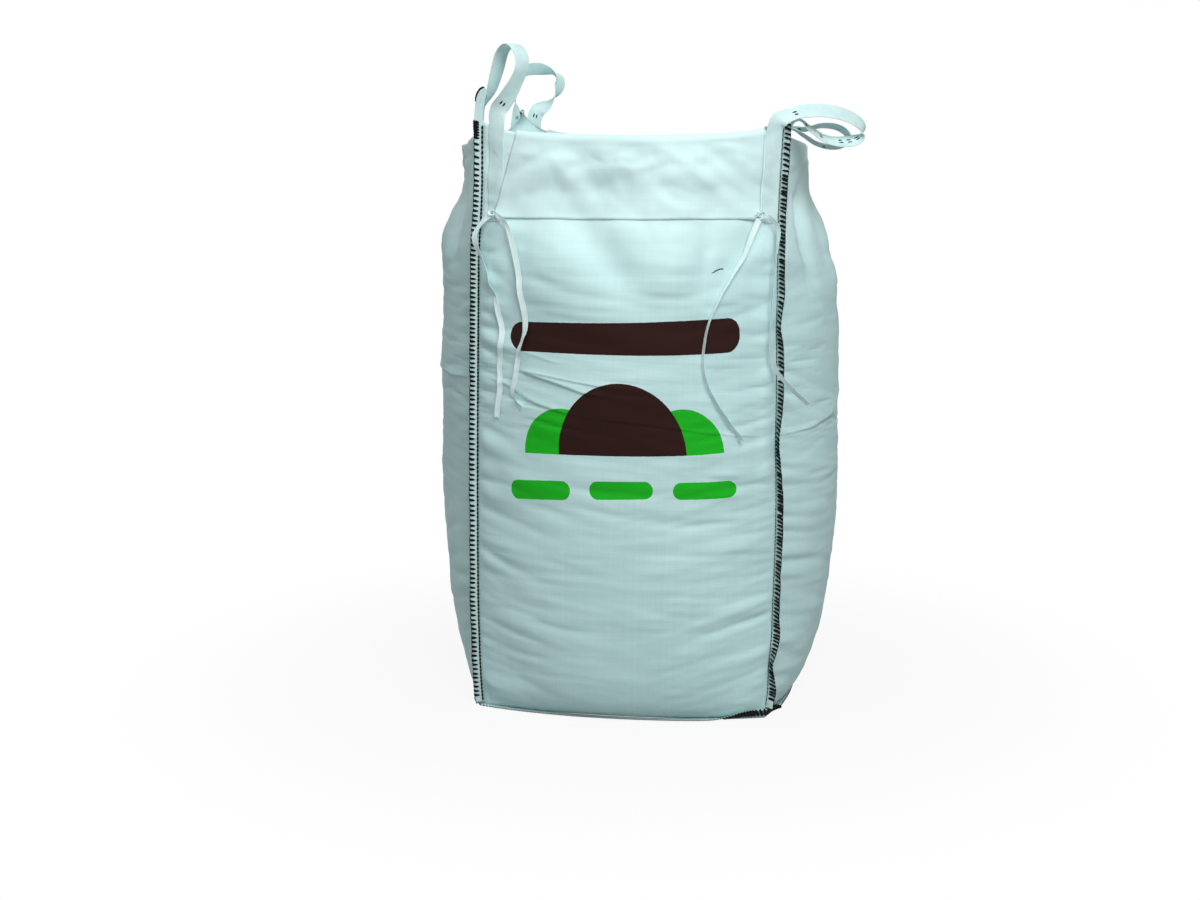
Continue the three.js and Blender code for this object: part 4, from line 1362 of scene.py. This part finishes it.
# The tie tapes and their knots. Thin flat white tapes are knotted through the flap's front corners.
# Each tail is turned round the corner seam or left to hang limp against the front panel.
TAPE_WIDTH = 0.015
TAPE_THICK = 0.0008
KNOT_SIZE = Vector((0.026, 0.015, 0.020))
TAPE_SEAT = 0.001
TAPE_ROUTES = {
    "left_inner": {
        "knot": -1,
        "leaves": -20,
        "points": [
            (-316, 1347, 25, 40),
            (-302, 1318, 22, 20),
            (-288, 1270, 16, 10),
            (-276, 1214, 10, 5),
            (-266, 1152, 7, 0),
            (-258, 1086, 6, 10),
            (-266, 1040, 7, 60),
            (-279, 1000, 7, 30),
            (-286, 950, 7, 10),
            (-297, 905, 10, 40),
            (-288, 882, 12, 60),
            (-270, 862, 10, 30),
        ],
    },
    "left_outer": {
        "knot": -1,
        "leaves": 207,
        "points": [
            (-387, 1336, 30, 40),
            (-402, 1302, 30, 20),
            (-392, 1270, 27, 40),
            (-376, 1238, 18, 75),
            (-358, 1190, 10, 80),
            (-344, 1146, 7, 40),
            (-332, 1096, 7, 5),
            (-323, 1040, 7, 0),
            (-334, 980, 7, 25),
            (-332, 920, 9, 10),
            (-340, 868, 12, 15),
            (-343, 830, 8, 10),
        ],
    },
    "right_inner": {
        "knot": 1,
        "leaves": -105,
        "points": [
            (325, 1316, 23, 15),
            (303, 1258, 17, 40),
            (270, 1204, 12, 60),
            (240, 1150, 11, 66),
            (218, 1090, 11, 66),
            (206, 1030, 11, 62),
            (204, 980, 11, 58),
            (222, 920, 11, 58),
            (262, 850, 13, 52),
            (304, 786, 12, 40),
        ],
    },
    "right_outer": {
        "knot": 1,
        "leaves": -5,
        "points": [
            (380, 1350, 27, 20),
            (392, 1326, 30, 40),
            (389, 1280, 36, 70),
            (385, 1220, 36, 80),
            (380, 1150, 36, 80),
            (377, 1080, 36, 70),
            (378, 1020, 38, 50),
            (390, 968, 44, 30),
            (428, 920, 30, 20),
            (478, 868, -6, 10),
        ],
    },
}


def knot_place(sign):
    """The middle of a tie knot on a front corner of the flap, and the way the wall faces there."""
    drop = FLAP_DROP - KNOT_SIZE.z / 2
    height = RIM_HEIGHT - drop
    panel = panel_at(0, FLAP_SHIFT_HEM + sign * (FLAP_HALF_HEM - KNOT_SIZE.x / 4), height)
    standoff = flap_standoff(drop) + 0.0015 + KNOT_SIZE.y / 2 + 0.0004
    return off_wall(panel, height, standoff), wall_normal(panel, height)


def before_front(x, z, distance):
    """The point in front of the front panel at a place across and up the bag."""
    low, high = 0.0, 0.9999
    height = z
    for _ in range(40):
        panel = (low + high) / 2
        point = wall_point(panel, height)
        height += z - point.z
        if point.x < x:
            low = panel
        else:
            high = panel
    return Vector((x, wall_point(low, height).y - distance, z))


def tape_path(route):
    point, normal = knot_place(route["knot"])
    turn = math.radians(route["leaves"])
    sideways = UP.cross(normal).normalized()
    start = point + sideways * (math.cos(turn) * (KNOT_SIZE.x / 2 + TAPE_SEAT))
    start += UP * (math.sin(turn) * (KNOT_SIZE.z / 2 + TAPE_SEAT))
    points = [start]
    sides = [sideways * -math.sin(turn) + UP * math.cos(turn)]
    for x, z, distance, turned in route["points"]:
        angle = math.radians(turned)
        points.append(before_front(x / 1000, z / 1000, distance / 1000))
        sides.append(Vector((math.cos(angle), -math.sin(angle), 0.0)))
    return points, sides


tape_cloth = woven_material("tie_tape", "cloth", (0.80, 0.95, 0.95), (0.70, 0.86, 0.86), 0.25)
for tape_name, route in TAPE_ROUTES.items():
    tape_points, tape_sides = tape_path(route)
    tape_ribbon, tape_length = even_ribbon(tape_points, tape_sides, 110, TAPE_WIDTH)
    tape = make_ribbon(
        "tape_tail_" + tape_name,
        tape_ribbon,
        tape_length,
        TAPE_WIDTH,
        TAPE_THICK,
        4,
        0.0008,
        ["tie_tape_" + tape_name],
        tape_cloth,
    )


def make_knot(name, sign):
    """A tape pulled through itself: a flat band along a squeezed three-lobed knot."""
    centre, normal = knot_place(sign)
    sideways = UP.cross(normal).normalized()
    points = []
    sides = []
    for i in range(60):
        t = 2 * math.pi * i / 60
        x = math.sin(t) + 2 * math.sin(2 * t)
        z = math.cos(t) - 2 * math.cos(2 * t)
        y = -math.sin(3 * t)
        place = sideways * (x * KNOT_SIZE.x / 7.2) + UP * (z * KNOT_SIZE.z / 7.0)
        points.append(centre + place + normal * (y * KNOT_SIZE.y / 4.5))
        sides.append((normal + 0.6 * place.normalized()).normalized())
    points.append(points[0].copy())
    sides.append(sides[0].copy())
    ribbon, length = even_ribbon(points, sides, 90, 0.0075)
    knot = make_ribbon(name, ribbon, length, 0.0075, 0.0016, 4, 0.0006, [name], tape_cloth)
    knot.name = "knotted_" + name


make_knot("tie_knot_left", -1)
make_knot("tie_knot_right", 1)


# The studio: a plain pale floor that fades to white round the bag, a large soft light from the front
# right and above, a weaker one from the left, and a camera a little above the rim's height.
floor_mesh = bmesh.new()
bmesh.ops.create_circle(floor_mesh, cap_ends=True, segments=96, radius=40.0)
floor_data = bpy.data.meshes.new("floor")
floor_mesh.to_mesh(floor_data)
floor_mesh.free()
floor = bpy.data.objects.new("floor", floor_data)
bpy.context.scene.collection.objects.link(floor)
floor_material, floor_tree, floor_shader = start_material("pale_floor", 0.9)
floor_shader.inputs["Base Color"].default_value = (0.46, 0.47, 0.47, 1.0)
floor_place = new_node(floor_tree, "ShaderNodeTexCoord").outputs["Object"]
floor_length = new_node(
    floor_tree, "ShaderNodeVectorMath", {0: floor_place}, operation="LENGTH"
).outputs["Value"]
floor_fade = new_node(
    floor_tree,
    "ShaderNodeMapRange",
    {"Value": floor_length, "From Min": 0.55, "From Max": 1.7, "To Min": 0.92},
    interpolation_type="SMOOTHSTEP",
)
white_light = new_node(floor_tree, "ShaderNodeEmission", {"Color": (1.0, 1.0, 1.0, 1.0), "Strength": 1.0})


def shown_rays(tree):
    """One for the rays that show the white surroundings: seen, mirrored or through glass."""
    rays = new_node(tree, "ShaderNodeLightPath").outputs
    mirrored = new_node(
        tree, "ShaderNodeMath", {0: rays["Is Glossy Ray"], 1: rays["Is Transmission Ray"]}, operation="MAXIMUM"
    )
    return new_node(
        tree, "ShaderNodeMath", {0: rays["Is Camera Ray"], 1: mirrored.outputs[0]}, operation="MAXIMUM"
    ).outputs[0]


floor_share = new_node(
    floor_tree, "ShaderNodeMath", {0: floor_fade.outputs[0], 1: shown_rays(floor_tree)}, operation="MULTIPLY"
)
floor_mix = new_node(
    floor_tree,
    "ShaderNodeMixShader",
    {0: floor_share.outputs[0], 1: floor_shader.outputs[0], 2: white_light.outputs[0]},
)
floor_tree.links.new(floor_mix.outputs[0], floor_tree.nodes["Material Output"].inputs["Surface"])
floor_data.materials.append(floor_material)

world = bpy.data.worlds.new("studio")
bpy.context.scene.world = world
world.use_nodes = True
sky = world.node_tree
sky_way = new_node(sky, "ShaderNodeTexCoord").outputs["Generated"]
sky_rise = new_node(
    sky, "ShaderNodeVectorMath", {0: sky_way, 1: (0.0, -0.55, 0.83)}, operation="DOT_PRODUCT"
).outputs["Value"]
sky_light = new_node(
    sky,
    "ShaderNodeMapRange",
    {"Value": sky_rise, "From Min": -0.2, "From Max": 1.0, "To Min": 0.02, "To Max": 0.36},
)
sky_strength = new_node(
    sky,
    "ShaderNodeMix",
    {"Factor": shown_rays(sky), 2: sky_light.outputs[0], 3: 1.0},
    data_type="FLOAT",
)
sky.nodes["Background"].inputs["Color"].default_value = (1.0, 1.0, 1.0, 1.0)
sky.links.new(sky_strength.outputs[0], sky.nodes["Background"].inputs["Strength"])


def soft_light(name, place, target, size, power):
    data = bpy.data.lights.new(name, "AREA")
    data.shape = "DISK"
    data.size = size
    data.energy = power
    lamp = bpy.data.objects.new(name, data)
    bpy.context.scene.collection.objects.link(lamp)
    lamp.location = place
    way = Vector(target) - Vector(place)
    lamp.rotation_euler = way.to_track_quat("-Z", "Y").to_euler()


soft_light("key_light", (1.5, -3.9, 4.5), (0.0, 0.0, 0.9), 2.8, 190.0)
soft_light("fill_light", (-2.2, -1.4, 5.6), (0.0, 0.0, 1.5), 2.4, 44.0)

CAMERA_DISTANCE = 5.0
CAMERA_AZIMUTH = math.radians(4.8)
CAMERA_HEIGHT = 1.586
CAMERA_PITCH = math.radians(10.45)
CAMERA_YAW = math.radians(1.344)
camera_data = bpy.data.cameras.new("photo_camera")
camera_data.lens = 52.35
camera_data.sensor_width = 36.0
camera = bpy.data.objects.new("photo_camera", camera_data)
bpy.context.scene.collection.objects.link(camera)
camera.location = (
    CAMERA_DISTANCE * math.sin(CAMERA_AZIMUTH),
    -CAMERA_DISTANCE * math.cos(CAMERA_AZIMUTH),
    CAMERA_HEIGHT,
)
camera.rotation_euler = (math.pi / 2 - CAMERA_PITCH, 0.0, CAMERA_AZIMUTH + CAMERA_YAW)
bpy.context.scene.camera = camera
bpy.context.scene.view_settings.view_transform = "Standard"
